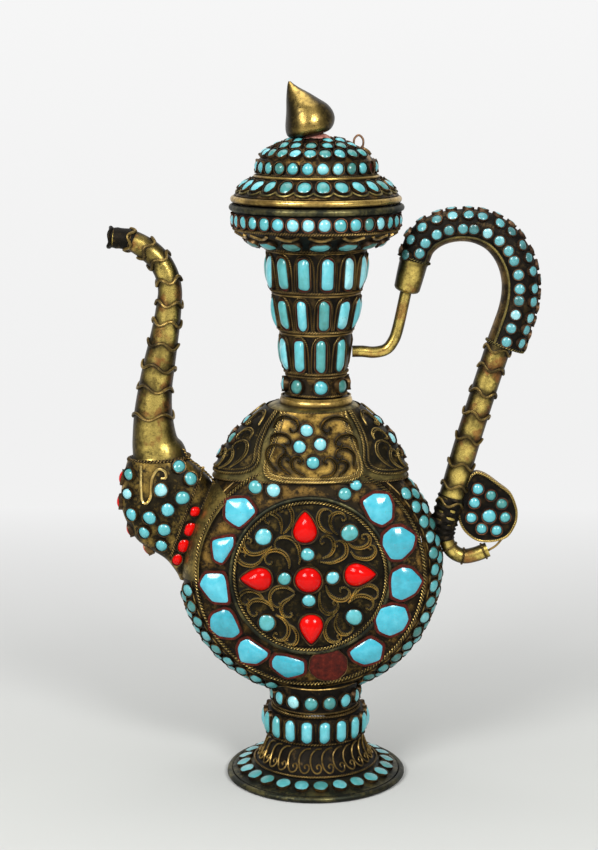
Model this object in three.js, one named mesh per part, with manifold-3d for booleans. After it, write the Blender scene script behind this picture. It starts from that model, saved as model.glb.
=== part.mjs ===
// A stone-set brass ewer: a moon-shaped body on a pedestal foot, a tiered neck with a cup and a lift-off lid,
// an S-shaped spout on the left and a hooked handle on the right.
// Millimetres, +Z up, origin under the middle of the foot. The round faces look along -Y and +Y.
import * as THREE from 'three';
import { mergeVertices } from 'three/addons/utils/BufferGeometryUtils.js';
import Module from 'manifold-3d';

const wasm = await Module();
wasm.setup();

// Sizes shared by many pieces
const gap = 0.3;
const sheet = 1.1;
const sink = 0.5;
const overrun = 6;
const bodyFacets = 32;
const ringFacets = 24;

// Foot, from the table up
const baseThickness = 1.2;
const flange = { radius: 39.6, rimWire: 1.4, innerRadius: 24.4, rise: 5.4 };
const skirt = { height: 11.9, topRadius: 20.4, bottomRadius: 27.2, thickness: 2.4 };
const footWire = 0.7;
const longTier = { height: 10.2, radius: 21.2, bulge: 0.7, boreRadius: 16.4 };
const roundTier = { height: 11.9, radius: 18.3, boreRadius: 13.6 };
const footSeat = 5.4;

// Moon-shaped body, a little to the left of the foot's axis
const body = { radius: 56.3, offset: 2.4, edgeReach: 6, ropeDepth: 14.8, stoneRingWidth: 17.1 };
const fieldDepth = 18.2;
const crownDepth = 20.4;
const ropeWire = 0.9;
const medallion = { margin: 1.6, thickness: 0.8 };
const coral = { centreRadius: 5.6, centreHeight: 3.4, dropLength: 13.4, dropWidth: 10, dropHeight: 3.4 };
const dropMargin = 9.4;
const bigStone = { width: 12.6, height: 2.2, innerMargin: 2.2, outerMargin: 2.5 };

// Shoulder cap between body and neck, with a panel on each of its four sides
const shoulder = { rise: 15.2, height: 31, sideInset: 13.9, topRadius: 19.4, bottomHalfDepth: 18.2 };
const panel = { thickness: 0.9, topHalfWidth: 13, bottomHalfWidth: 20.6, height: 29 };

// Neck and cup
const neckTube = { radius: 11, wall: 1.4, dip: 8 };
const neckRing = { height: 4.4, radius: 15.6 };
const studTier = { height: 9.3, bottomRadius: 12.9, topRadius: 12.3 };
const lowerTier = { height: 17.9, bottomRadius: 13.2, topRadius: 15.4 };
const middleTier = { height: 16.7, bottomRadius: 15.6, topRadius: 18.8 };
const upperTier = { height: 18, bottomRadius: 19, topRadius: 21.2 };
const cup = { radius: 35, bowlHeight: 8.7, bandHeight: 6.7, rimReach: 0.9, rimWire: 1.5 };

// Lid
const lidGap = 0.5;
const lid = { rimInset: 0.9, rimWire: 1.5, skirtHeight: 7.2, shelfInset: 8.8 };
const lidDome = { height: 15.1, wallHeight: 7.3, wallInset: 2, topRadius: 7.4 };
const sleeve = { depth: 5, clearance: 1.5 };
const eyelet = { wire: 0.55, halfWidth: 2, height: 6, inset: 6.4 };
const washer = { radius: 5.6, thickness: 1.1 };
const finial = { length: 23.4, radius: 10.4, stemRadius: 1.6, lean: 21, offset: 2.7 };

// Spout: a bulb on the body's edge and a tube that rises in an S
const spout = { rise: 96, reach: 19.6, radius: 8.4, wall: 1, mouthWire: 0.6, standOff: 9.7 };
const bulb = { height: 54, halfDepth: 11.6, leftReach: 16.9, rightReach: 25.4, wall: 1.4, rise: 47.8 };
const collarWire = 0.9;
const passage = { radius: 6, drop: 22 };

// Handle: a bent bracket from the neck, a socket, a stone-set arch, a straight tube, a tail and a leaf
const bracket = { wire: 2.5, reach: 23.4, rise: 26, place: 8.5 };
const socket = { length: 13.9, bottomRadius: 5.6, topRadius: 6.2, lean: 13.7 };
const arch = { height: 14.5, span: 45.2, drop: 51.7, radius: 7.9, depthShare: 0.92 };
const lining = { thickness: 1.2 };
const handleTube = { radius: 5.5, wall: 1.2, endRadius: 4.6, seatAngle: 17, bow: 1.2 };
const tail = { radius: 3.3, reach: 18.7, drop: 13.5 };
const leaf = { height: 29.8, width: 24.4, thickness: 1.8, rim: 0.9, rimDepth: 4, rise: 8.6 };

// Stones fused to the bands that carry them
const studStone = { width: 5, height: 1.2 };
const longStone = { width: 4.4, height: 1.3 };
const leafStone = { width: 4, height: 1 };
const leafShares = [[-0.22, 0.5], [-0.342, 0.383], [-0.428, 0.164], [-0.498, -0.047], [-0.498, -0.174],
  [-0.42, -0.315], [-0.3, -0.42], [-0.15, -0.49], [0.076, -0.5], [0.252, -0.466], [0.367, -0.41],
  [0.461, -0.258], [0.498, -0.134], [0.482, -0.007], [0.387, 0.185], [0.186, 0.319], [-0.043, 0.456]];

// Finishes
const brass = { color: 0x8d7337, roughness: 0.42, metalness: 0.9 };
const darkBrass = { color: 0x4d4226, roughness: 0.55, metalness: 0.8 };
const coralRed = { color: 0xc81a10, roughness: 0.3, metalness: 0 };
const pinkWax = { color: 0xb56a5c, roughness: 0.7, metalness: 0 };
const copper = { color: 0xa5683f, roughness: 0.4, metalness: 0.9 };

// Heights that follow from the sizes above
const flangeTop = flange.rise + sheet;
const skirtBottom = flangeTop + gap;
const skirtTop = skirtBottom + skirt.height;
const lowerWireZ = skirtTop + gap + footWire;
const longTierBottom = lowerWireZ + footWire + gap;
const upperWireZ = longTierBottom + longTier.height + gap + footWire;
const roundTierBottom = upperWireZ + footWire + gap;
const footTop = roundTierBottom + roundTier.height;
const bodyZ = footTop - footSeat + body.radius;
const shoulderTop = bodyZ + body.radius + shoulder.rise;
const shoulderBottom = shoulderTop - shoulder.height;
const neckRingBottom = shoulderTop + gap;
const studTierBottom = neckRingBottom + neckRing.height + gap;
const lowerTierBottom = studTierBottom + studTier.height + gap;
const middleTierBottom = lowerTierBottom + lowerTier.height + gap;
const upperTierBottom = middleTierBottom + middleTier.height + gap;
const bowlBottom = upperTierBottom + upperTier.height + gap;
const bandBottom = bowlBottom + cup.bowlHeight + gap;
const cupRimZ = bandBottom + cup.bandHeight + gap + cup.rimWire;
const lidRimZ = cupRimZ + cup.rimWire + lidGap + lid.rimWire;
const lidSkirtBottom = lidRimZ + lid.rimWire + gap;
const domeBottom = lidSkirtBottom + lid.skirtHeight + gap;
const domeTop = domeBottom + lidDome.height;
const tubeBore = neckTube.radius + gap;

// Radii that follow from the cup and from the body, from the edge inwards
const cupRimRadius = cup.radius + cup.rimReach;
const lidRimRadius = cupRimRadius - lid.rimInset;
const shelfRadius = lidRimRadius - lid.shelfInset;
const domeWallRadius = shelfRadius - lidDome.wallInset;
const eyeletPlace = domeWallRadius - eyelet.inset;
const sleeveRadius = cup.radius - sheet - sleeve.clearance;
const shoulderHalfWidth = body.radius - shoulder.sideInset;
const ropeRadius = body.radius - body.edgeReach;
const fieldRadius = ropeRadius - body.stoneRingWidth;
const medallionRadius = fieldRadius - medallion.margin;
const dropInset = medallionRadius - dropMargin;
const stoneLength = body.stoneRingWidth - bigStone.innerMargin - bigStone.outerMargin;
const stoneRingRadius = fieldRadius + bigStone.innerMargin + stoneLength / 2;

// Turning closed meshes into solids and back
function solidOf(geometry) {
  const bare = geometry.clone();
  bare.deleteAttribute('normal');
  bare.deleteAttribute('uv');
  const merged = mergeVertices(bare);
  const index = merged.index.array;
  const kept = [];
  for (let i = 0; i < index.length; i += 3) {
    const [a, b, c] = [index[i], index[i + 1], index[i + 2]];
    if (a !== b && b !== c && c !== a) kept.push(a, b, c);
  }
  return new wasm.Manifold(new wasm.Mesh({
    numProp: 3,
    vertProperties: new Float32Array(merged.attributes.position.array),
    triVerts: new Uint32Array(kept),
  }));
}

function geometryOf(solid) {
  const mesh = solid.getMesh();
  const geometry = new THREE.BufferGeometry();
  geometry.setAttribute('position', new THREE.BufferAttribute(mesh.vertProperties, 3));
  geometry.setIndex(new THREE.BufferAttribute(mesh.triVerts, 1));
  geometry.computeVertexNormals();
  return geometry;
}

// A profile of [radius, place on the axis], anticlockwise, turned about Y
function turnedSideways(profile, facets = bodyFacets) {
  const points = profile.map(([r, y]) => new THREE.Vector2(r, y));
  if (profile[0][0] > 0) points.push(points[0].clone());
  return new THREE.LatheGeometry(points, facets);
}

// The same, turned about the upright axis
function turned(profile, facets = ringFacets) {
  return turnedSideways(profile, facets).rotateX(Math.PI / 2);
}

function wireRing(radius, wire, facets = ringFacets) {
  return new THREE.TorusGeometry(radius, wire, 5, facets);
}

// A closed skin over rings of points that all have the same count; a looped one has no end caps
function loft(rings, looped = false) {
  const sides = rings[0].length;
  const places = [];
  rings.forEach((ring) => ring.forEach((p) => places.push(p.x, p.y, p.z)));
  const faces = [];
  const bands = looped ? rings.length : rings.length - 1;
  for (let i = 0; i < bands; i += 1) {
    const a = i * sides;
    const b = ((i + 1) % rings.length) * sides;
    for (let j = 0; j < sides; j += 1) {
      const k = (j + 1) % sides;
      faces.push(a + j, a + k, b + k, a + j, b + k, b + j);
    }
  }
  const last = (rings.length - 1) * sides;
  const ends = looped ? [] : THREE.ShapeUtils.triangulateShape(flattened(rings[0]), []);
  ends.forEach(([a, b, c]) => {
    faces.push(a, c, b);
    faces.push(last + a, last + b, last + c);
  });
  const geometry = new THREE.BufferGeometry();
  geometry.setAttribute('position', new THREE.Float32BufferAttribute(places, 3));
  geometry.setIndex(faces);
  return geometry;
}

// A level or tilted ring of points seen square on, as a flat outline
function flattened(ring) {
  const middle = ring.reduce((sum, p) => sum.add(p), new THREE.Vector3()).divideScalar(ring.length);
  const right = ring[0].clone().sub(middle).normalize();
  const quarter = ring[Math.round(ring.length / 4)].clone().sub(middle);
  const up = quarter.sub(right.clone().multiplyScalar(quarter.dot(right))).normalize();
  return ring.map((p) => {
    const from = p.clone().sub(middle);
    return new THREE.Vector2(from.dot(right), from.dot(up));
  });
}

// An oval drawn towards a rectangle, level at height z
function ovalRing(x, z, halfWidth, halfDepth, sides, squareness) {
  return Array.from({ length: sides }, (_, i) => {
    const angle = (i / sides) * 2 * Math.PI;
    const along = Math.cos(angle);
    const across = Math.sin(angle);
    const px = Math.sign(along) * Math.abs(along) ** (2 / squareness) * halfWidth;
    const py = Math.sign(across) * Math.abs(across) ** (2 / squareness) * halfDepth;
    return new THREE.Vector3(x + px, py, z);
  });
}

// Rings along a route in the plane of spout and handle. A station is [x, z, half width, half depth], and
// the outline gives a ring's points as [towards the inside of the bend, across] from these halves.
function ringsAlong(stations, steps, outline) {
  const route = new THREE.CatmullRomCurve3(stations.map(([x, z]) => new THREE.Vector3(x, 0, z)));
  const halves = new THREE.CatmullRomCurve3(stations.map(([x, z, w, d]) => new THREE.Vector3(w, d, 0)),
    false, 'catmullrom', 0);
  const across = new THREE.Vector3(0, 1, 0);
  return Array.from({ length: steps + 1 }, (_, i) => {
    const middle = route.getPoint(i / steps);
    const inward = new THREE.Vector3().crossVectors(across, route.getTangent(i / steps)).normalize();
    const size = halves.getPoint(i / steps);
    return outline(size.x, size.y).map(([n, y]) => middle.clone().addScaledVector(inward, n)
      .addScaledVector(across, y));
  });
}

function roundSection(sides, less = 0) {
  return (w, d) => Array.from({ length: sides }, (_, j) => {
    const angle = ((j + 0.5) / sides) * 2 * Math.PI;
    return [Math.cos(angle) * (w - less), Math.sin(angle) * (d - less)];
  });
}

function rod(stations, steps, sides) {
  return loft(ringsAlong(stations, steps, roundSection(sides)));
}

function pipe(stations, steps, sides, wall) {
  const outside = ringsAlong(stations, steps, roundSection(sides));
  const inside = ringsAlong(stations, steps, roundSection(sides, wall)).reverse();
  return loft([...outside, ...inside], true);
}

// A domed stone over a flat outline, standing on the plane z = 0
const plainStoneShares = [[1, 0], [0.75, 1]];
const domedStoneShares = [[1, 0], [0.92, 0.5], [0.5, 1]];

function cabochon(outline, height, shares) {
  return loft(shares.map(([size, rise]) => outline.map(
    ([x, y]) => new THREE.Vector3(x * size, y * size, height * rise),
  )));
}

function roundOutline(width, sides) {
  return Array.from({ length: sides }, (_, i) => {
    const angle = ((i + 0.5) / sides) * 2 * Math.PI;
    return [Math.cos(angle) * width / 2, Math.sin(angle) * width / 2];
  });
}

function longStud(length) {
  const half = longStone.width / 2;
  const straight = length / 2 - half / 2;
  const outline = [[half, -straight], [half, straight], [-half, straight], [-half, -straight]];
  return cabochon(outline, longStone.height + sink, plainStoneShares);
}

const stud = cabochon(roundOutline(studStone.width, 6), studStone.height + sink, plainStoneShares);

// Carries a stone made at the origin to a point of its band, its top facing outwards
function seated(stone, place, outward, up) {
  const z = outward.clone().normalize();
  const x = new THREE.Vector3().crossVectors(up, z).normalize();
  const y = new THREE.Vector3().crossVectors(z, x);
  return stone.clone().applyMatrix4(new THREE.Matrix4().makeBasis(x, y, z).setPosition(place));
}

// Stones in a row round the upright axis, fused to their band; a row may leave room towards +X
function withStoneRow(band, { stone, count, radius, z, tilt, leaveOut = 0 }) {
  let solid = band;
  for (let i = 0; i < count; i += 1) {
    const angle = ((i + 0.5) / count) * 2 * Math.PI - Math.PI;
    if (Math.abs(angle) >= leaveOut) {
      const outward = new THREE.Vector3(
        Math.cos(angle) * Math.cos(tilt), Math.sin(angle) * Math.cos(tilt), Math.sin(tilt));
      const place = new THREE.Vector3(Math.cos(angle) * radius, Math.sin(angle) * radius, z)
        .addScaledVector(outward, -sink);
      solid = solid.add(solidOf(seated(stone, place, outward, new THREE.Vector3(0, 0, 1))));
    }
  }
  return solid;
}

const ewer = new THREE.Group();
const lidGroup = new THREE.Group();
ewer.add(lidGroup);

function piece(name, solid, finish, group = ewer) {
  const mesh = new THREE.Mesh(geometryOf(solid), new THREE.MeshStandardMaterial(finish));
  mesh.name = name;
  group.add(mesh);
}

// The rounded edge of the body is an arc through the rope rings and the outermost point
const edgeCentre = (body.radius ** 2 - ropeRadius ** 2 - body.ropeDepth ** 2) / (2 * body.edgeReach);
const edgeRadius = body.radius - edgeCentre;
const edgeSpread = Math.atan2(body.ropeDepth, ropeRadius - edgeCentre);

function edgeArc(radius, steps) {
  return Array.from({ length: steps + 1 }, (_, i) => {
    const angle = -edgeSpread + (2 * edgeSpread * i) / steps;
    return [edgeCentre + radius * Math.cos(angle), radius * Math.sin(angle)];
  });
}

function placedOnBody(geometry) {
  return geometry.translate(-body.offset, 0, bodyZ);
}

// The body's outer skin with a gap, cut out of whatever leans on the body
const bodyKeepOut = solidOf(placedOnBody(turnedSideways([
  [0, -crownDepth - gap],
  [fieldRadius, -fieldDepth - gap],
  ...edgeArc(edgeRadius + 2 * gap, 8),
  [fieldRadius, fieldDepth + gap],
  [0, crownDepth + gap],
])));

const neckPassage = solidOf(turned([
  [0, shoulderBottom], [tubeBore, shoulderBottom], [tubeBore, shoulderTop + overrun], [0, shoulderTop + overrun],
]));

const spoutAxis = -body.offset - body.radius - spout.standOff;
const collarZ = bodyZ + bulb.rise;
const spoutPassage = solidOf(
  new THREE.CylinderGeometry(passage.radius, passage.radius, bulb.rightReach, 12)
    .rotateZ(Math.PI / 2)
    .translate(spoutAxis + bulb.rightReach / 2, 0, collarZ - passage.drop),
);

// The shoulder cap: an oval that hugs the body below and closes to a circle under the neck
function shoulderSolid(grow, bottomDrop, topRise) {
  const swellShares = [[0, 1], [0.26, 0.86], [0.5, 0.68], [0.68, 0.48], [0.86, 0.22], [1, 0]];
  const spread = shoulderHalfWidth - shoulder.topRadius;
  const rings = swellShares.map(([rise, wide]) => {
    const depth = shoulder.bottomHalfDepth + (shoulder.topRadius - shoulder.bottomHalfDepth) * rise;
    const x = -body.offset * (1 - rise / 2);
    const z = shoulderBottom + shoulder.height * rise;
    return ovalRing(x, z, shoulder.topRadius + spread * wide + grow, depth + grow, 24, 2.6 - 0.6 * rise);
  });
  const first = rings[0].map((p) => new THREE.Vector3(p.x, p.y, p.z - bottomDrop));
  const last = rings[rings.length - 1].map((p) => new THREE.Vector3(p.x, p.y, p.z + topRise));
  if (bottomDrop > 0) rings.unshift(first);
  if (topRise < 0) rings.pop();
  if (topRise !== 0) rings.push(last);
  return solidOf(loft(rings));
}

const shoulderKeepOut = shoulderSolid(gap, gap, gap);

function makeFoot() {
  const rimCentre = flange.radius - flange.rimWire;
  const rimInside = rimCentre - flange.rimWire - gap;
  piece('base_disc', solidOf(turned([
    [0, 0], [rimInside, 0], [rimInside, baseThickness], [0, baseThickness],
  ])), darkBrass);

  const beadShares = [[-1, 0], [-0.5, -1], [0.5, -1], [1, 0], [0.5, 0.87]];
  const plate = solidOf(turned([
    [flange.innerRadius, flange.rise],
    ...beadShares.map(([out, up]) => [rimCentre + flange.rimWire * out, flange.rimWire * (1 + up)]),
    [rimCentre - flange.rimWire, flange.rimWire + sheet],
    [flange.innerRadius, flangeTop],
  ]));
  const plateRun = rimCentre - flange.rimWire - flange.innerRadius;
  const plateDrop = flangeTop - flange.rimWire - sheet;
  const rowShare = 0.59;
  piece('foot_flange', withStoneRow(plate, {
    stone: stud,
    count: 24,
    radius: flange.innerRadius + plateRun * rowShare,
    z: flangeTop - plateDrop * rowShare,
    tilt: Math.atan2(plateRun, plateDrop),
  }), brass);

  const flareShares = [[1, 0], [0.6, 0.2], [0.28, 0.5], [0, 1]];
  const flare = skirt.bottomRadius - skirt.topRadius;
  const outside = flareShares.map(([out, up]) => [skirt.topRadius + flare * out, skirtBottom + skirt.height * up]);
  const inside = outside.map(([r, z]) => [r - skirt.thickness, z]).reverse();
  piece('foot_skirt', solidOf(turned([...outside, ...inside])), brass);
  piece('foot_lower_wire', solidOf(wireRing(skirt.topRadius - footWire, footWire).translate(0, 0, lowerWireZ)),
    brass);

  const tierMiddle = longTierBottom + longTier.height / 2;
  const tierTop = longTierBottom + longTier.height;
  const tier = solidOf(turned([
    [longTier.boreRadius, longTierBottom],
    [longTier.radius, longTierBottom],
    [longTier.radius + longTier.bulge, tierMiddle],
    [longTier.radius, tierTop],
    [longTier.boreRadius, tierTop],
  ]));
  piece('foot_long_tier', withStoneRow(tier, {
    stone: longStud(longTier.height - 2 * sink),
    count: 18,
    radius: longTier.radius + longTier.bulge / 2,
    z: tierMiddle,
    tilt: 0,
  }), brass);
  piece('foot_upper_wire', solidOf(wireRing(roundTier.radius + footWire, footWire).translate(0, 0, upperWireZ)),
    brass);

  const collar = solidOf(turned([
    [roundTier.boreRadius, roundTierBottom],
    [roundTier.radius, roundTierBottom],
    [roundTier.radius, footTop],
    [roundTier.boreRadius, footTop],
  ]));
  piece('foot_round_tier', withStoneRow(collar, {
    stone: stud,
    count: 14,
    radius: roundTier.radius,
    z: roundTierBottom + studStone.width * 0.8,
    tilt: 0,
  }).subtract(bodyKeepOut), brass);
}

// One face of the body with its ring of large stones, open under the shoulder cap
function domeWithStones() {
  const seamRadius = edgeArc(edgeRadius - sheet, 1)[0][0] - gap;
  const seamDepth = body.ropeDepth - gap;
  const dome = turnedSideways([
    [0, -crownDepth],
    [fieldRadius, -fieldDepth],
    [seamRadius, -seamDepth],
    [seamRadius, sheet - seamDepth],
    [fieldRadius, sheet - fieldDepth],
    [0, sheet - crownDepth],
  ]);
  const outlineShares = [[-0.5, -0.28], [0, -0.5], [0.5, -0.3], [0.42, 0.36], [-0.4, 0.4]];
  const outline = outlineShares.map(([x, y]) => [x * bigStone.width, y * stoneLength]);
  const stone = cabochon(outline, bigStone.height + sink, [[1, 0], [0.7, 1]]);
  const slope = Math.atan2(fieldDepth - seamDepth, seamRadius - fieldRadius);
  const depth = fieldDepth - (stoneRingRadius - fieldRadius) * Math.tan(slope);
  const count = 12;
  const span = 308;
  const start = 116;
  let solid = solidOf(dome);
  for (let i = 0; i < count; i += 1) {
    const angle = THREE.MathUtils.degToRad(start + (span * (i + 0.5)) / count);
    const aside = new THREE.Vector3(Math.cos(angle), 0, Math.sin(angle));
    const outward = new THREE.Vector3(0, -Math.cos(slope), 0).addScaledVector(aside, Math.sin(slope));
    const place = aside.clone().multiplyScalar(stoneRingRadius).setY(-depth).addScaledVector(outward, -sink);
    solid = solid.add(solidOf(seated(stone, place, outward, aside)));
  }
  return geometryOf(solid);
}

function makeBody() {
  const band = solidOf(placedOnBody(turnedSideways([
    ...edgeArc(edgeRadius, 6),
    ...edgeArc(edgeRadius - sheet, 2).reverse(),
  ])));
  piece('body_edge_band', band.subtract(neckPassage).subtract(spoutPassage), darkBrass);

  const dome = domeWithStones();
  const outerRope = wireRing(ropeRadius - ropeWire, ropeWire, bodyFacets)
    .rotateX(Math.PI / 2).translate(0, -body.ropeDepth - ropeWire - 2 * gap, 0);
  const innerRope = wireRing(fieldRadius + ropeWire, ropeWire)
    .rotateX(Math.PI / 2).translate(0, -fieldDepth - ropeWire - gap, 0);

  const crownSlope = Math.atan2(crownDepth - fieldDepth, fieldRadius);
  const edgeDepth = crownDepth - medallionRadius * Math.tan(crownSlope) + gap;
  const disc = turnedSideways([
    [0, -crownDepth - gap - medallion.thickness],
    [medallionRadius, -edgeDepth - medallion.thickness],
    [medallionRadius, -edgeDepth],
    [0, -crownDepth - gap],
  ], ringFacets);

  const seat = crownDepth + 2 * gap + medallion.thickness;
  const centreStone = cabochon(roundOutline(coral.centreRadius * 2, 12), coral.centreHeight, domedStoneShares);
  const dropShares = [[0, -0.5], [0.3, -0.44], [0.47, -0.28], [0.5, -0.08], [0.36, 0.16], [0.16, 0.38], [0, 0.5]];
  const mirrored = dropShares.slice(1, -1).reverse().map(([x, y]) => [-x, y]);
  const dropOutline = [...dropShares, ...mirrored].map(([x, y]) => [x * coral.dropWidth, y * coral.dropLength]);
  const dropStone = cabochon(dropOutline, coral.dropHeight, domedStoneShares);

  [['front', 0], ['back', Math.PI]].forEach(([side, turn]) => {
    const onSide = (geometry) => solidOf(placedOnBody(geometry.clone().rotateZ(turn)));
    piece(`${side}_dome`, onSide(dome), darkBrass);
    piece(`${side}_outer_rope`, onSide(outerRope).subtract(shoulderKeepOut), brass);
    piece(`${side}_inner_rope`, onSide(innerRope), brass);
    piece(`${side}_medallion`, onSide(disc), darkBrass);
    const facing = new THREE.Vector3(0, -1, 0);
    const middle = facing.clone().multiplyScalar(seat);
    const upright = new THREE.Vector3(0, 0, 1);
    piece(`${side}_coral_centre`, onSide(seated(centreStone, middle, facing, upright)), coralRed);
    [['top', 90], ['left', 180], ['bottom', 270], ['right', 0]].forEach(([where, degrees]) => {
      const angle = THREE.MathUtils.degToRad(degrees);
      const aside = new THREE.Vector3(Math.cos(angle), 0, Math.sin(angle));
      const outward = facing.clone().multiplyScalar(Math.cos(crownSlope))
        .addScaledVector(aside, Math.sin(crownSlope));
      const place = aside.clone().multiplyScalar(dropInset).setY(dropInset * Math.tan(crownSlope) - seat);
      piece(`${side}_coral_${where}`, onSide(seated(dropStone, place, outward, aside)), coralRed);
    });
  });
}

function makeShoulder() {
  const cavity = shoulderSolid(-sheet, overrun, -sheet);
  piece('shoulder_cap',
    shoulderSolid(0, 0, 0).subtract(cavity).subtract(bodyKeepOut).subtract(neckPassage), brass);

  const skin = shoulderSolid(gap + panel.thickness, 0, 0).subtract(shoulderSolid(gap, overrun, overrun));
  const archShares = [[-1, 0], [-1, 0.62], [-0.8, 0.86], [0, 1], [0.8, 0.86], [1, 0.62], [1, 0]];
  const depth = 2 * (shoulderHalfWidth + shoulder.topRadius);
  const window = (grow, y) => {
    const shape = new THREE.Shape(archShares.map(([x, down]) => {
      const half = panel.topHalfWidth + (panel.bottomHalfWidth - panel.topHalfWidth) * down + grow;
      return new THREE.Vector2(x * half, shoulderTop - gap - panel.height * down);
    }));
    return solidOf(new THREE.ExtrudeGeometry(shape, { depth, bevelEnabled: false })
      .rotateX(Math.PI / 2).translate(-body.offset, y, 0));
  };
  piece('front_panel', skin.intersect(window(0, 0)), darkBrass);
  piece('back_panel', skin.intersect(window(0, depth)), darkBrass);

  const sides = skin.subtract(window(2 * gap, depth / 2));
  const sideHeight = panel.height * 0.86;
  const sideDepth = 2 * (shoulder.bottomHalfDepth - sheet);
  [['left', -1], ['right', 1]].forEach(([side, way]) => {
    const block = new THREE.BoxGeometry(depth, sideDepth, sideHeight)
      .translate(-body.offset + way * (depth / 2 + panel.topHalfWidth), 0, shoulderTop - gap - sideHeight / 2);
    piece(`${side}_panel`, sides.intersect(solidOf(block)), darkBrass);
  });
}

// A tier of the neck: a flared wall on a floor that closes against the inner tube
function tier(bottom, size) {
  const wall = 2 * sheet;
  return solidOf(turned([
    [tubeBore, bottom],
    [size.bottomRadius, bottom],
    [size.topRadius, bottom + size.height],
    [size.topRadius - wall, bottom + size.height],
    [Math.max(size.bottomRadius - wall, tubeBore), bottom + wall],
    [tubeBore, bottom + wall],
  ]));
}

function makeNeck() {
  const tubeBottom = shoulderTop - neckTube.dip;
  const tubeTop = bowlBottom + sheet;
  piece('neck_tube', solidOf(turned([
    [neckTube.radius - neckTube.wall, tubeBottom],
    [neckTube.radius, tubeBottom],
    [neckTube.radius, tubeTop],
    [neckTube.radius - neckTube.wall, tubeTop],
  ])), darkBrass);

  const beadShares = [[0.92, 0], [1, 0.3], [1, 0.7], [0.92, 1]];
  piece('neck_ring', solidOf(turned([
    [tubeBore, neckRingBottom],
    ...beadShares.map(([out, up]) => [neckRing.radius * out, neckRingBottom + neckRing.height * up]),
    [tubeBore, neckRingBottom + neckRing.height],
  ])), brass);

  const studBand = solidOf(turned([
    [tubeBore, studTierBottom],
    [studTier.bottomRadius, studTierBottom],
    [studTier.topRadius, studTierBottom + studTier.height],
    [tubeBore, studTierBottom + studTier.height],
  ]));
  piece('neck_stud_tier', withStoneRow(studBand, {
    stone: stud,
    count: 8,
    radius: (studTier.bottomRadius + studTier.topRadius) / 2,
    z: studTierBottom + studTier.height / 2,
    tilt: 0,
  }), brass);

  const bracketRoom = 0.5;
  [['lower', lowerTierBottom, lowerTier, 10, bracketRoom],
    ['middle', middleTierBottom, middleTier, 12, 0],
    ['upper', upperTierBottom, upperTier, 13, 0]].forEach(([which, bottom, size, count, leaveOut]) => {
    piece(`neck_${which}_tier`, withStoneRow(tier(bottom, size), {
      stone: longStud(size.height - longStone.width / 2),
      count,
      radius: (size.bottomRadius + size.topRadius) / 2,
      z: bottom + size.height / 2,
      tilt: -Math.atan2(size.topRadius - size.bottomRadius, size.height),
      leaveOut,
    }), brass);
  });
}

function makeCup() {
  const bowlTop = bowlBottom + cup.bowlHeight;
  piece('cup_bowl', solidOf(turned([
    [tubeBore, bowlBottom],
    [upperTier.topRadius, bowlBottom],
    [cup.radius, bowlTop - sheet],
    [cup.radius, bowlTop],
    [cup.radius - 2 * sheet, bowlTop],
    [upperTier.topRadius - sheet, bowlBottom + sheet],
    [tubeBore, bowlBottom + sheet],
  ])), brass);

  const bandTop = bandBottom + cup.bandHeight;
  piece('cup_band', solidOf(turned([
    [cup.radius - sheet, bandBottom],
    [cup.radius, bandBottom],
    [cup.radius, bandTop],
    [cup.radius - sheet, bandTop],
  ])), brass);
  piece('cup_rim', solidOf(wireRing(cupRimRadius, cup.rimWire).translate(0, 0, cupRimZ)), brass);
}

const crownShares = [[1, 0], [0.8, 0.38], [0.5, 0.72], [0.22, 0.93], [0, 1]];
const crownProfile = crownShares.map(([out, up]) => [
  lidDome.topRadius + (domeWallRadius - lidDome.topRadius) * out,
  domeBottom + lidDome.wallHeight + (lidDome.height - lidDome.wallHeight) * up,
]);

function crownHeightAt(radius) {
  const i = crownProfile.findIndex(([r]) => r <= radius);
  const [[outerRadius, low], [innerRadius, high]] = crownProfile.slice(i - 1, i + 1);
  return low + ((high - low) * (outerRadius - radius)) / (outerRadius - innerRadius);
}

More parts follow.
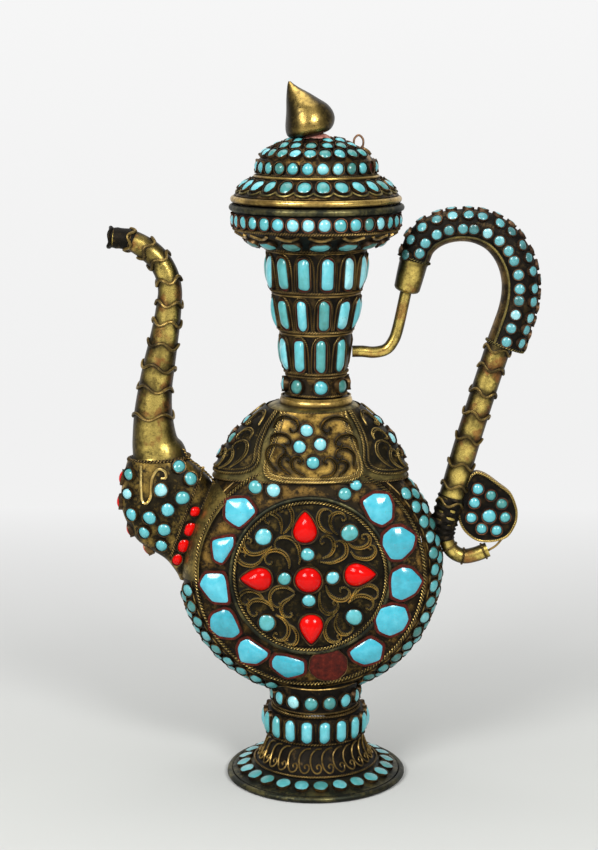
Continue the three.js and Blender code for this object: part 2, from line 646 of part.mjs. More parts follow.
function makeLid() {
  const eyeletRoom = 0.3;
  piece('lid_rim', solidOf(wireRing(lidRimRadius, lid.rimWire).translate(0, 0, lidRimZ)), brass,
    lidGroup);

  const sleeveTop = lidRimZ + lid.rimWire;
  piece('lid_sleeve', solidOf(turned([
    [sleeveRadius - sheet, cupRimZ - sleeve.depth],
    [sleeveRadius, cupRimZ - sleeve.depth],
    [sleeveRadius, sleeveTop],
    [sleeveRadius - sheet, sleeveTop],
  ])), darkBrass, lidGroup);

  const skirtTopZ = lidSkirtBottom + lid.skirtHeight;
  const wall = 2 * sheet;
  const skirtSolid = solidOf(turned([
    [sleeveRadius - sheet, lidSkirtBottom],
    [lidRimRadius, lidSkirtBottom],
    [shelfRadius, skirtTopZ],
    [shelfRadius - wall, skirtTopZ],
    [sleeveRadius - sheet, lidSkirtBottom + sheet],
  ]));
  const rowShare = 0.54;
  piece('lid_skirt', withStoneRow(skirtSolid, {
    stone: stud,
    count: 25,
    radius: lidRimRadius - lid.shelfInset * rowShare,
    z: lidSkirtBottom + lid.skirtHeight * rowShare,
    tilt: Math.atan2(lid.shelfInset, lid.skirtHeight),
  }), brass, lidGroup);

  const inside = crownProfile.map(([r, z]) => [r - sheet * 0.8, z - sheet]).reverse();
  const domeSolid = solidOf(turned([
    [0, domeTop - sheet],
    ...inside,
    [shelfRadius - sheet, domeBottom],
    [shelfRadius, domeBottom],
    ...crownProfile,
    [0, domeTop],
  ]));
  const wallShare = 0.58;
  let studded = withStoneRow(domeSolid, {
    stone: stud,
    count: 25,
    radius: shelfRadius - lidDome.wallInset * wallShare,
    z: domeBottom + lidDome.wallHeight * wallShare,
    tilt: Math.atan2(lidDome.wallInset, lidDome.wallHeight),
  });
  const crownRowShares = [[0.89, 22], [0.68, 16], [0.47, 11]];
  crownRowShares.forEach(([share, count]) => {
    const radius = domeWallRadius * share;
    const reach = studStone.width / 4;
    const drop = crownHeightAt(radius - reach) - crownHeightAt(radius + reach);
    studded = withStoneRow(studded, {
      stone: stud, count, radius, z: crownHeightAt(radius), tilt: Math.atan2(2 * reach, drop), leaveOut: eyeletRoom,
    });
  });
  piece('lid_dome', studded, brass, lidGroup);

  const washerBottom = domeTop + gap;
  const washerTop = washerBottom + washer.thickness;
  const lean = THREE.MathUtils.degToRad(-finial.lean);
  const onionShares = [[0.34, 0], [0.78, 0.07], [0.98, 0.2], [1, 0.31], [0.84, 0.5], [0.48, 0.73], [0.18, 0.91]];
  const tipDrop = finial.radius * onionShares[0][0] * Math.sin(finial.lean * THREE.MathUtils.DEG2RAD);
  const onion = solidOf(turned([
    [0, 0],
    ...onionShares.map(([out, up]) => [finial.radius * out, finial.length * up]),
    [0, finial.length],
  ], 16).rotateY(lean).translate(-finial.offset, 0, washerTop + gap + tipDrop));
  const stemTop = washerTop + 2 * tipDrop;
  const stem = solidOf(turned([
    [0, washerBottom], [finial.stemRadius, washerBottom], [finial.stemRadius, stemTop], [0, stemTop],
  ], 12).translate(-finial.offset, 0, 0));
  piece('finial', onion.add(stem), brass, lidGroup);
  piece('finial_washer', solidOf(turned([
    [finial.stemRadius + gap, washerBottom],
    [washer.radius, washerBottom],
    [washer.radius * 0.86, washerTop],
    [finial.stemRadius + gap, washerTop],
  ]).translate(-finial.offset, 0, 0)), pinkWax, lidGroup);

  const half = eyelet.halfWidth;
  const left = crownHeightAt(eyeletPlace - half - eyelet.wire) + gap;
  const right = crownHeightAt(eyeletPlace + half - eyelet.wire) + gap;
  const shoulderZ = left + eyelet.height - half;
  const loop = [[-half, left], [-half, shoulderZ], [-half * 0.7, shoulderZ + half * 0.7], [0, shoulderZ + half],
    [half * 0.7, shoulderZ + half * 0.7], [half, shoulderZ], [half, right]];
  piece('lid_eyelet', solidOf(rod(loop.map(([x, z]) => [eyeletPlace + x, z, eyelet.wire, eyelet.wire]), 12, 6)),
    copper, lidGroup);
}

function makeSpout() {
  const bulbShares = [[0, 0.8, 0.53, 0.905], [0.083, 0.875, 0.705, 0.965], [0.18, 0.947, 0.88, 1],
    [0.345, 1, 1, 1], [0.47, 0.92, 0.92, 0.965], [0.555, 0.79, 0.84, 0.915], [0.665, 0.6, 0.725, 0.83],
    [0.745, 0.24, 0.645, 0.73], [0.825, -0.14, 0.605, 0.6], [0.935, -0.41, 0.567, 0.475], [1, -0.5, 0.51, 0.3]];
  const bulbRings = (stations, less, lift) => stations.map(([down, left, right, deep]) => {
    const low = spoutAxis - bulb.leftReach * left + less;
    const high = spoutAxis + bulb.rightReach * right - less;
    const z = collarZ - bulb.height * down + lift;
    return ovalRing((low + high) / 2, z, (high - low) / 2, bulb.halfDepth * deep - less, 16, 2.3);
  });
  const hollowRings = bulbRings(bulbShares.slice(0, 7), bulb.wall, 0);
  hollowRings.unshift(hollowRings[0].map((p) => new THREE.Vector3(p.x, p.y, p.z + overrun)));
  const shell = solidOf(loft(bulbRings(bulbShares, 0, 0).reverse()));
  piece('spout_bulb',
    shell.subtract(solidOf(loft(hollowRings.reverse()))).subtract(bodyKeepOut).subtract(spoutPassage), darkBrass);

  const footZ = collarZ + gap;
  const tubeShares = [[0, 0, 1.56, 1.22], [0.02, 0.03, 1.42, 1.16], [0.08, 0.081, 1.17, 1.08], [0.107, 0.201, 1, 1],
    [0.056, 0.324, 0.865, 0.865], [-0.026, 0.42, 0.813, 0.813], [-0.122, 0.52, 0.74, 0.74],
    [-0.214, 0.62, 0.685, 0.685], [-0.265, 0.705, 0.637, 0.637], [-0.29, 0.763, 0.62, 0.62],
    [-0.23, 0.831, 0.607, 0.607], [-0.056, 0.898, 0.595, 0.595], [0.2, 0.947, 0.583, 0.583],
    [0.566, 0.988, 0.536, 0.536], [1, 1, 0.512, 0.512]];
  const stations = tubeShares.map(([out, up, w, d]) => [
    spoutAxis - spout.reach * out, footZ + spout.rise * up, spout.radius * w, spout.radius * d,
  ]);
  const below = solidOf(new THREE.BoxGeometry(bulb.height, bulb.height, bulb.height)
    .translate(spoutAxis, 0, footZ - bulb.height / 2));
  piece('spout_tube', solidOf(pipe(stations, 20, 10, spout.wall)).subtract(below), brass);

  const [mouthX, mouthZ, mouthRadius] = stations[stations.length - 1];
  const mouth = mouthRadius - spout.wall + spout.mouthWire;
  piece('spout_mouth_ring', solidOf(wireRing(mouth, spout.mouthWire, 12)
    .rotateY(Math.PI / 2).translate(mouthX - spout.mouthWire - 2 * gap, 0, mouthZ)), brass);

  const [, , footHalf, footDeep] = stations[0];
  const collarReach = footHalf + gap + collarWire;
  piece('spout_collar', solidOf(wireRing(collarReach, collarWire)
    .scale(1, (footDeep + gap + collarWire) / collarReach, 1)
    .translate(spoutAxis, 0, footZ + collarWire)), brass);
}

function makeHandle() {
  const lean = THREE.MathUtils.degToRad(socket.lean);
  const upX = Math.sin(lean);
  const upZ = Math.cos(lean);
  const tierGrowth = (lowerTier.topRadius - lowerTier.bottomRadius) / lowerTier.height;
  const startX = lowerTier.bottomRadius + tierGrowth * (bracket.place + bracket.wire) + gap;
  const startZ = lowerTierBottom + bracket.place;
  const socketX = startX + bracket.reach;
  const socketZ = startZ + bracket.rise;
  const bracketShares = [[0, 0], [0.2, 0], [0.42, -0.015], [0.62, 0.03], [0.74, 0.16], [0.83, 0.38]];
  const bracketRoute = bracketShares.map(([x, z]) => [startX + bracket.reach * x, startZ + bracket.rise * z]);
  bracketRoute.push([socketX - gap * upX, socketZ - gap * upZ]);
  piece('neck_bracket', solidOf(rod(bracketRoute.map(([x, z]) => [x, z, bracket.wire, bracket.wire]), 16, 10)),
    brass);

  const socketTop = [socketX + socket.length * upX, socketZ + socket.length * upZ];
  piece('handle_socket', solidOf(rod([
    [socketX, socketZ, socket.bottomRadius, socket.bottomRadius],
    [...socketTop, socket.topRadius, socket.topRadius],
  ], 2, 14)), brass);

  const startArch = [socketTop[0] + 2 * gap * upX, socketTop[1] + 2 * gap * upZ];
  const crownZ = startArch[1] + arch.height;
  const risingShares = [[0, 0, 0.81], [0.05, 0.44, 0.87], [0.146, 0.745, 0.886], [0.283, 0.93, 0.87],
    [0.44, 1, 0.875]];
  const fallingShares = [[0.6, 0.014, 0.91], [0.754, 0.072, 0.95], [0.872, 0.168, 0.975], [0.953, 0.294, 0.99],
    [0.998, 0.439, 1], [1, 0.584, 1], [0.971, 0.729, 1.01], [0.923, 0.865, 1.02], [0.869, 1, 1.02]];
  const archStation = (x, z, size) => {
    const radius = arch.radius * size;
    return [startArch[0] + arch.span * x, z, radius, radius * arch.depthShare];
  };
  const stations = [
    ...risingShares.map(([x, up, size]) => archStation(x, startArch[1] + arch.height * up, size)),
    ...fallingShares.map(([x, down, size]) => archStation(x, crownZ - arch.drop * down, size)),
  ];
  // The section is full outside and flattened on the inside of the bend, where the lining lies
  const onOval = (angle, w, d) => [Math.cos(angle) * w, Math.sin(angle) * d];
  const hollowAngles = [-0.98, -0.5, 0, 0.5, 0.98];
  const backAngles = Array.from({ length: 8 }, (_, i) => 1.06 + (i * 2 * (Math.PI - 1.06)) / 7);
  const less = lining.thickness + gap;
  const archSection = (w, d) => [
    ...hollowAngles.map((angle) => onOval(angle, w - less, d - less)),
    ...backAngles.map((angle) => onOval(angle, w, d)),
  ];
  piece('handle_arch', solidOf(loft(ringsAlong(stations, 18, archSection))), darkBrass);

  const liningAngles = [-0.9, -0.45, 0, 0.45, 0.9];
  const liningSection = (w, d) => [
    ...liningAngles.map((angle) => onOval(angle, w, d)),
    ...liningAngles.slice().reverse().map((angle) => onOval(angle, w - lining.thickness, d - lining.thickness)),
  ];
  piece('handle_lining', solidOf(loft(ringsAlong(stations, 18, liningSection))), brass);

  // The straight tube hangs from the inner edge of the arch's end and leans on the body
  const [lastX, lastZ, lastRadius] = stations[stations.length - 1];
  const seatReach = body.radius + gap + handleTube.endRadius;
  const seat = THREE.MathUtils.degToRad(handleTube.seatAngle);
  const endX = -body.offset + seatReach * Math.cos(seat);
  const endZ = bodyZ + seatReach * Math.sin(seat);
  const run = new THREE.Vector2(endX - lastX, endZ - lastZ).normalize();
  const shift = lastRadius - handleTube.radius;
  const tubeX = lastX + shift * run.y + 3 * gap * run.x;
  const tubeZ = lastZ - shift * run.x + 3 * gap * run.y;
  const between = (share, radius, bow = 0) => [
    tubeX + (endX - tubeX) * share + run.y * bow, tubeZ + (endZ - tubeZ) * share - run.x * bow, radius, radius];
  const tubeRoute = [between(0, handleTube.radius), between(0.35, handleTube.radius, handleTube.bow * 0.7),
    between(0.7, handleTube.radius, handleTube.bow), between(0.93, handleTube.radius, handleTube.bow * 0.4),
    between(1, handleTube.endRadius)];
  piece('handle_tube', solidOf(pipe(tubeRoute, 8, 10, handleTube.wall)).subtract(bodyKeepOut), brass);

  const tailShares = [[0, -0.02], [0.03, 0.4], [0.16, 0.8], [0.42, 1], [0.72, 0.93], [1, 0.77]];
  const tailRoute = tailShares.map(([out, down]) => [
    endX + tail.reach * out + 2 * gap, endZ - tail.drop * down - 2 * gap, tail.radius, tail.radius]);
  const tubeKeepOut = solidOf(rod([between(0.9, handleTube.radius + gap), between(1, handleTube.radius + gap),
    [endX + run.x * gap, endZ + run.y * gap, handleTube.radius, handleTube.radius]], 3, 12));
  piece('handle_tail', solidOf(rod(tailRoute, 14, 10)).subtract(bodyKeepOut).subtract(tubeKeepOut), brass);

  // The leaf leans against the tube, so the tube's side at each height of the outline sets its place
  const sideReach = (handleTube.radius + gap) / -run.y;
  const tubeSideAt = (z) => tubeRoute.slice(1).reduce((reach, [x, low], i) => {
    const [highX, high] = tubeRoute[i];
    return z >= low && z <= high ? x + ((highX - x) * (z - low)) / (high - low) + sideReach : reach;
  }, endX);
  const leafZ = endZ + leaf.rise;
  makeLeaf(Math.max(...leafShares.map(([u, v]) => tubeSideAt(leafZ + v * leaf.height) - u * leaf.width)), leafZ);
}

function makeLeaf(x, z) {
  const outline = (less) => leafShares.map(([u, v]) => new THREE.Vector2(
    u * (leaf.width - 2 * less), v * (leaf.height - 2 * less)));
  const rimShape = new THREE.Shape(outline(0));
  rimShape.holes.push(new THREE.Path(outline(leaf.rim)));
  const upright = (shape, depth) => new THREE.ExtrudeGeometry(shape, { depth, bevelEnabled: false })
    .rotateX(Math.PI / 2).translate(x, depth / 2, z);
  piece('leaf_rim', solidOf(upright(rimShape, leaf.rimDepth)), brass);

  let plate = solidOf(upright(new THREE.Shape(outline(leaf.rim + gap)), leaf.thickness));
  const stone = cabochon(roundOutline(leafStone.width, 6), leafStone.height + sink, plainStoneShares);
  const stoneShares = [[0.03, -0.13], [-0.18, 0.28], [0.06, 0.18], [0.26, 0.05], [0.32, -0.155],
    [0.17, -0.35], [-0.1, -0.32], [-0.285, -0.145], [-0.235, 0.07]];
  stoneShares.forEach(([u, v]) => {
    const place = new THREE.Vector3(x + u * leaf.width, sink - leaf.thickness / 2, z + v * leaf.height);
    const stoneSolid = solidOf(seated(stone, place, new THREE.Vector3(0, -1, 0), new THREE.Vector3(0, 0, 1)));
    plate = plate.add(stoneSolid);
  });
  piece('leaf_plate', plate, darkBrass);
}

makeFoot();
makeBody();
makeShoulder();
makeNeck();
makeCup();
makeLid();
makeSpout();
makeHandle();

export default ewer;
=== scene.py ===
# The looks of a stone-set brass ewer: skins, stones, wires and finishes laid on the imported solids.
# Forms are worked out in millimetres, and a mesh becomes metres when its piece is made.
import math
import random

import bmesh
import bpy
import numpy as np
from mathutils import Euler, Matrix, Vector
from mathutils.bvhtree import BVHTree


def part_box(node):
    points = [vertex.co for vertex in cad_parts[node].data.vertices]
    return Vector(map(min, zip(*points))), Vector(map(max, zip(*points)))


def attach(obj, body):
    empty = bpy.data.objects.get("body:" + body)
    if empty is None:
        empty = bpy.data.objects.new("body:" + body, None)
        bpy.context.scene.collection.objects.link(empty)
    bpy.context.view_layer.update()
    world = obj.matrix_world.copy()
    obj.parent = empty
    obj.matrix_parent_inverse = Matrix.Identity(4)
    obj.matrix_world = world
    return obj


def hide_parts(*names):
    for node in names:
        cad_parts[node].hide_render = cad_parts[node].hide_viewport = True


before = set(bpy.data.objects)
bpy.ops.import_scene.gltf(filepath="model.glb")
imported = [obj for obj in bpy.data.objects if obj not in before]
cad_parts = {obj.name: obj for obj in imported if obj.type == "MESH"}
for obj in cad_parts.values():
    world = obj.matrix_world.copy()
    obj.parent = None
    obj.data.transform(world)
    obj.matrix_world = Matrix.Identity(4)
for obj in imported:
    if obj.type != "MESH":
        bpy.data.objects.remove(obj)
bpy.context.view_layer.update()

MM = 0.001
chance = random.Random(11)
UP = np.array([0.0, 0.0, 1.0])
FRONT = np.array([0.0, -1.0, 0.0])


# Camera, fitted to the ellipses and circles of the photograph
photo = {"width": 598, "height": 850}
view = {"place": Vector((-3.7, -829.7, 314.8)), "tilt": 79.32, "turn": 0.254, "lens": 82.33, "film": 36}
aim = Euler((math.radians(view["tilt"]), 0, math.radians(view["turn"])))
camera_data = bpy.data.cameras.new("camera")
camera_data.sensor_width = view["film"]
camera_data.lens = view["lens"]
camera = bpy.data.objects.new("camera", camera_data)
camera.location = view["place"] * MM
camera.rotation_euler = aim
bpy.context.scene.collection.objects.link(camera)
bpy.context.scene.camera = camera
bpy.context.scene.view_settings.view_transform = "Standard"


def seen_at(u, v, depth):
    """Where a pixel of the photograph lies on the upright plane at a depth: across and up, in millimetres."""
    pixels = view["lens"] / view["film"] * photo["height"]
    across = (u - photo["width"] / 2) / pixels
    upward = (photo["height"] / 2 - v) / pixels
    ray = aim.to_matrix() @ Vector((across, upward, -1))
    place = view["place"] + ray * ((depth - view["place"].y) / ray.y)
    return place.x, place.z


def traced(depth, middle=(0, 0)):
    """Turns points of the photograph into places on the upright plane at a depth, from a middle."""
    def places(points):
        seen = [seen_at(u, v, depth) for u, v in points]
        return [(x - middle[0], z - middle[1]) for x, z in seen]
    return places


# Places read from the frame, in millimetres
def low(node, axis=2):
    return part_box(node)[0][axis] / MM


def high(node, axis=2):
    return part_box(node)[1][axis] / MM


def halfway(node, axis=2):
    return (low(node, axis) + high(node, axis)) / 2


# Directions and lines
def unit(vector):
    vector = np.asarray(vector, float)
    return vector / np.maximum(np.linalg.norm(vector, axis=-1, keepdims=True), 1e-9)


def bearing(angle):
    """The level direction at an angle round the upright axis."""
    return np.array([math.cos(angle), math.sin(angle), 0.0])


def full_turn(count):
    """Angles evenly spread over a full circle."""
    return np.linspace(0, 2 * math.pi, count, endpoint=False)


def spaced(count, start=0.0):
    """Angles evenly spread round the upright axis, the first so many degrees past the front."""
    return [math.radians(start - 90) + 2 * math.pi * i / count for i in range(count)]


def lengths_along(line):
    """How far along a line each of its points lies."""
    return np.concatenate([[0], np.cumsum(np.linalg.norm(np.diff(line, axis=0), axis=1))])


def curve(points, steps=8, closed=False):
    """A smooth line through points, with this many stretches between each two."""
    p = np.asarray(points, float)
    if closed:
        p = np.concatenate([p[-1:], p, p[:2]])
    else:
        p = np.concatenate([2 * p[:1] - p[1:2], p, 2 * p[-1:] - p[-2:-1]])
    t = np.linspace(0, 1, steps, endpoint=False)[:, None]
    parts = []
    for a, b, c, d in zip(p, p[1:], p[2:], p[3:]):
        bend = (2 * a - 5 * b + 4 * c - d) * t ** 2 + (3 * b - a - 3 * c + d) * t ** 3
        parts.append((2 * b + (c - a) * t + bend) / 2)
    if not closed:
        parts.append(p[-2:-1])
    return np.concatenate(parts)


def evenly(line, spacing, closed=False):
    """The same line with points at even spacing. Columns past the third are carried along."""
    line = np.asarray(line, float)
    if closed:
        line = np.vstack([line, line[:1]])
    lengths = lengths_along(line[:, :3])
    count = max(int(round(lengths[-1] / spacing)), 3)
    places = np.linspace(0, lengths[-1], count + 1)
    points = np.stack([np.interp(places, lengths, column) for column in line.T], 1)
    return points[:-1] if closed else points


def laid(surface, flat):
    """A line of places with their outward directions, from flat coordinates on a surface."""
    return np.array([np.concatenate(surface(*point)) for point in flat])


def felt(place, e=0.05):
    """A surface from a function that only gives places: it feels its way for the outward direction."""
    def surface(u, v):
        here = place(u, v)
        outward = np.cross(place(u + e, v) - here, place(u, v + e) - here)
        return here, unit(outward)
    return surface


def facing(line, outward):
    """A line of places, all with the same outward direction."""
    return np.hstack([line, np.broadcast_to(outward, line.shape)])


def upright(flat, depth=0.0):
    """A line in the upright plane at a depth, from places across and up, its outward side in front."""
    return facing(np.stack([flat[:, 0], np.full(len(flat), depth), flat[:, 1]], 1), FRONT)


def ring_line(radius, z, centre=(0, 0), wobble=0):
    """A level circle with its outward directions."""
    angles = full_turn(180)
    reach = radius + wobble * (np.sin(3 * angles + z) + 0.6 * np.sin(7 * angles + 2 * z))
    around = np.stack([np.cos(angles), np.sin(angles), 0 * angles], 1)
    return np.hstack([around * reach[:, None] + [*centre, z], around])


def along_line(line, i):
    """Middle, direction and sideways direction of a line in the upright plane at one of its points."""
    a, b = line[max(i - 1, 0)], line[min(i + 1, len(line) - 1)]
    along = unit(np.array([b[0] - a[0], 0, b[1] - a[1]]))
    return np.array([line[i][0], 0, line[i][1]]), along, unit(np.cross(-FRONT, along))


def hoop(line, i, width, depth, count, ripple=0.0, phase=0.0):
    """A ring round a pipe at a point of its middle line, with outward directions. It may ripple."""
    middle, along, across = along_line(line, i)
    angles = full_turn(count)
    places = middle + np.outer(np.cos(angles) * width, across) - np.outer(np.sin(angles) * depth, FRONT)
    outward = unit(np.outer(np.cos(angles), across) - np.outer(np.sin(angles), FRONT))
    return np.hstack([places + np.outer(ripple * np.sin(4 * angles + phase), along), outward])


# Flat forms and the faces between their points
def bands(count, n):
    """Faces between rings of n points each, one after another."""
    i = np.arange(count - 1)[:, None] * n
    j = np.arange(n)[None, :]
    k = (j + 1) % n
    return np.stack([i + j, i + k, i + n + k, i + n + j], -1).reshape(-1, 4)


def fan(n, first=0):
    """Triangles from each side of a ring of n points to the point that follows the ring."""
    a = np.arange(n)
    return np.stack([first + a, first + (a + 1) % n, np.full(n, first + n)], 1)


def lifted(rim, height):
    """A flat rim at one height, or each of its points at its own."""
    return np.hstack([rim, np.broadcast_to(np.reshape(height, (-1, 1)), (len(rim), 1))])


# Meshes
sharp_degrees = 42


class Shape:
    """Points and faces gathered from many forms into one mesh, with a shade number for each form."""

    def __init__(self):
        self.points, self.quads, self.triangles, self.shades = [], [], [], []
        self.count = 0

    def add(self, points, quads=None, triangles=None, shade=0.5):
        points = np.asarray(points, float).reshape(-1, 3)
        if quads is not None and len(quads):
            self.quads.append(np.asarray(quads) + self.count)
        if triangles is not None and len(triangles):
            self.triangles.append(np.asarray(triangles) + self.count)
        self.points.append(points)
        self.shades.append(np.broadcast_to(shade, len(points)))
        self.count += len(points)
        return self

    def skin(self, rings, around=True, looped=False, caps=(False, False), shade=0.5):
        """A skin over rings of points with equal counts, with a fan over each capped end."""
        rings = np.asarray(rings, float)
        n, m = rings.shape[:2]
        i = np.arange(n if looped else n - 1)[:, None]
        j = np.arange(m if around else m - 1)[None, :]
        k, following = (j + 1) % m, (i + 1) % n
        quads = np.stack([i * m + j, i * m + k, following * m + k, following * m + j], -1).reshape(-1, 4)
        points = [rings.reshape(-1, 3)]
        triangles = []
        for ring, capped in ((0, caps[0]), (n - 1, caps[1])):
            if capped:
                cap = fan(m, ring * m)
                cap[:, 2] = n * m + len(points) - 1
                points.append(rings[ring].mean(0)[None])
                triangles.append(cap)
        joined = np.concatenate(points)
        if np.ndim(shade):
            middles = np.full(len(joined) - n * m, 0.5)
            shade = np.concatenate([np.broadcast_to(shade, (n, m)).ravel(), middles])
        return self.add(joined, quads, np.concatenate(triangles) if triangles else None, shade)

    def turned(self, profile, facets=128, closed=False, caps=(False, False), wobble=0):
        """A profile of [radius, height] turned about the upright axis."""
        angles = full_turn(facets)
        r, z = np.asarray(profile, float).T[:, :, None]
        r = r + wobble * (np.sin(2 * angles + 1) + 0.7 * np.sin(5 * angles)) * np.ones_like(r)
        rings = np.stack([r * np.cos(angles), r * np.sin(angles), z + 0 * angles], -1)
        return self.skin(rings, looped=closed, caps=caps)

    def tube(self, line, radius, sides=8, closed=False, shade=0.5, flat=1.0):
        """A round rod along a line whose last three columns point out of what it lies on."""
        places, outward = line[:, :3], line[:, 3:6]
        if closed:
            along = unit(np.roll(places, -1, 0) - np.roll(places, 1, 0))
        else:
            along = unit(np.gradient(places, axis=0))
        side = unit(np.cross(along, outward))
        out = np.cross(side, along)
        angles = (np.arange(sides) + 0.5) * 2 * math.pi / sides
        radius = np.atleast_1d(np.asarray(radius, float))
        radius = np.broadcast_to(radius.reshape(len(radius), -1), (len(line), sides))
        rings = places[:, None] + side[:, None] * (np.cos(angles) * radius)[..., None] \
            + out[:, None] * (np.sin(angles) * radius * flat)[..., None]
        return self.skin(rings, looped=closed, caps=(not closed,) * 2, shade=shade)

    def rope(self, line, radius, bead, closed=False, sides=8, depth=0.24, shade=0.5, flat=1.0):
        """Two strands twisted together, seen as beads along a line."""
        steps = 5
        line = evenly(line, bead / steps, closed)
        count = len(line)
        beads = max(round(count / steps), 1)
        turn = math.pi * beads * np.arange(count) / count
        angles = (np.arange(sides) + 0.5) * 2 * math.pi / sides
        swell = 1 - depth + depth * np.cos(2 * (angles[None, :] - turn[:, None]))
        # Painted shade in the grooves between the strands, with a little painted sheen on the beads
        groove_shade = 0.22 * (np.cos(2 * (angles[None, :] - turn[:, None])) - 0.6)
        return self.tube(line, radius * swell, sides, closed, shade=shade + groove_shade, flat=flat)

    def ring(self, middle_radius, z, radius, bead):
        """A level ring of twisted wire round the upright axis."""
        return self.rope(ring_line(middle_radius, z), radius, bead, closed=True)

    def bed(self, place, outward, up, points, quads=None, triangles=None, shade=0.5):
        """Adds a form made round the origin, its third axis turned outwards at a place."""
        z = unit(outward)
        x = unit(np.cross(up, z))
        axes = np.array([x, np.cross(z, x), z])
        return self.add(np.asarray(points) @ axes + place, quads, triangles, shade)

    def piece(self, name, finish, slot, *nodes, body="ewer"):
        """Makes the gathered mesh a piece of the ewer, in place of the nodes that are named."""
        mesh = bpy.data.meshes.new(name)
        points = np.concatenate(self.points) * MM
        quads = np.concatenate(self.quads) if self.quads else np.zeros((0, 4), int)
        triangles = np.concatenate(self.triangles) if self.triangles else np.zeros((0, 3), int)
        mesh.vertices.add(len(points))
        mesh.vertices.foreach_set("co", points.ravel())
        corners = np.concatenate([quads.ravel(), triangles.ravel()])
        mesh.loops.add(len(corners))
        mesh.loops.foreach_set("vertex_index", corners.astype(np.int32))
        starts = np.concatenate([np.arange(len(quads)) * 4, quads.size + np.arange(len(triangles)) * 3])
        mesh.polygons.add(len(starts))
        mesh.polygons.foreach_set("loop_start", starts.astype(np.int32))
        mesh.update(calc_edges=True)
        mesh.validate()
        facing_out(mesh)
        shades = mesh.attributes.new("shade", "FLOAT", "POINT")
        shades.data.foreach_set("value", np.concatenate(self.shades).astype(np.float32))
        mesh.polygons.foreach_set("use_smooth", np.ones(len(mesh.polygons), bool))
        mesh.set_sharp_from_angle(angle=math.radians(sharp_degrees))
        mesh.materials.append(finish)
        made = bpy.data.objects.new(name, mesh)
        bpy.context.scene.collection.objects.link(made)
        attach(made, body)
        if nodes:
            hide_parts(*nodes)
        return made


def sheen_and_side_shade(sides, start=0.5, least=0.12, most=0.61):
    """Shade numbers round a tube: high in front and behind for a painted sheen, low along its two sides for
    painted shade.
    """
    angles = (start + np.arange(sides)) * 2 * math.pi / sides
    return (least + (most - least) * np.abs(np.sin(angles)) ** 1.4)[None, :]


def facing_out(mesh):
    """Turns every face of a mesh outwards."""
    work = bmesh.new()
    work.from_mesh(mesh)
    bmesh.ops.recalc_face_normals(work, faces=work.faces)
    work.to_mesh(mesh)
    work.free()


# Finishes
class Value:
    """A socket of a finish that can be used in sums."""

    def __init__(self, finish, socket):
        self.finish, self.socket = finish, socket

    def sum(self, operation, first, second):
        return self.finish.node("ShaderNodeMath", {"operation": operation}, {0: first, 1: second})

    def __add__(self, other):
        return self.sum("ADD", self, other)

    def __sub__(self, other):
        return self.sum("SUBTRACT", self, other)

    def __rsub__(self, other):
        return self.sum("SUBTRACT", other, self)

    def __mul__(self, other):
        return self.sum("MULTIPLY", self, other)

    def __pow__(self, other):
        return self.sum("POWER", self, other)

    __radd__ = __add__
    __rmul__ = __mul__


class Finish:
    """One material, with its shader and the nodes behind it."""

    def __init__(self, name):
        self.material = bpy.data.materials.new(name)
        self.material.use_nodes = True
        self.tree = self.material.node_tree
        self.shader = self.tree.nodes["Principled BSDF"]

    def node(self, kind, settings=None, inputs=None, output=0):
        made = self.tree.nodes.new(kind)
        for key, value in (settings or {}).items():
            if key == "stops":
                self.set_stops(made.color_ramp, value)
            else:
                setattr(made, key, value)
        for key, value in (inputs or {}).items():
            self.feed(made.inputs[key], value)
        return Value(self, made.outputs[output])

    def set_stops(self, ramp, stops):
        while len(ramp.elements) < len(stops):
            ramp.elements.new(0.5)
        for element, (place, colour) in zip(ramp.elements, stops):
            element.position = place
            element.color = colour

    def feed(self, socket, value):
        if isinstance(value, Value):
            self.tree.links.new(value.socket, socket)
        else:
            socket.default_value = value

    def set(self, **inputs):
        for key, value in inputs.items():
            self.feed(self.shader.inputs[key.replace("_", " ")], value)
        return self.material

    def where(self):
        return self.node("ShaderNodeTexCoord", output="Object")

    def noise(self, per_metre, detail=3, roughness=0.55):
        return self.node("ShaderNodeTexNoise", {}, {
            "Vector": self.where(), "Scale": per_metre, "Detail": detail, "Roughness": roughness})

    def shade(self):
        return self.node("ShaderNodeAttribute", {"attribute_name": "shade"}, output="Fac")

    def shelter(self, distance):
        """Ambient occlusion, 1 in the open and 0 deep in a corner: the finishes paint shade with it."""
        return self.node("ShaderNodeAmbientOcclusion", {"samples": 6}, {"Distance": distance * MM}, "AO")

    def between(self, start, end, value):
        """0 below start and 1 above end."""
        return self.node("ShaderNodeMapRange", {}, {"Value": value, "From Min": start, "From Max": end})

    def mix(self, factor, first, second):
        return self.node("ShaderNodeMix", {"data_type": "RGBA"}, {0: factor, 6: first, 7: second}, 2)

    def ramp(self, value, *stops):
        return self.node("ShaderNodeValToRGB", {"stops": stops}, {"Fac": value})

    def bump(self, height, distance):
        return self.node("ShaderNodeBump", {}, {
            "Height": height, "Distance": distance * MM, "Strength": 1.0}, "Normal")


def paint(red, green, blue):
    """A colour as a screen shows it, 0 to 255."""
    def linear(part):
        share = part / 255
        return share / 12.92 if share <= 0.04045 else ((share + 0.055) / 1.055) ** 2.4
    return (linear(red), linear(green), linear(blue), 1)


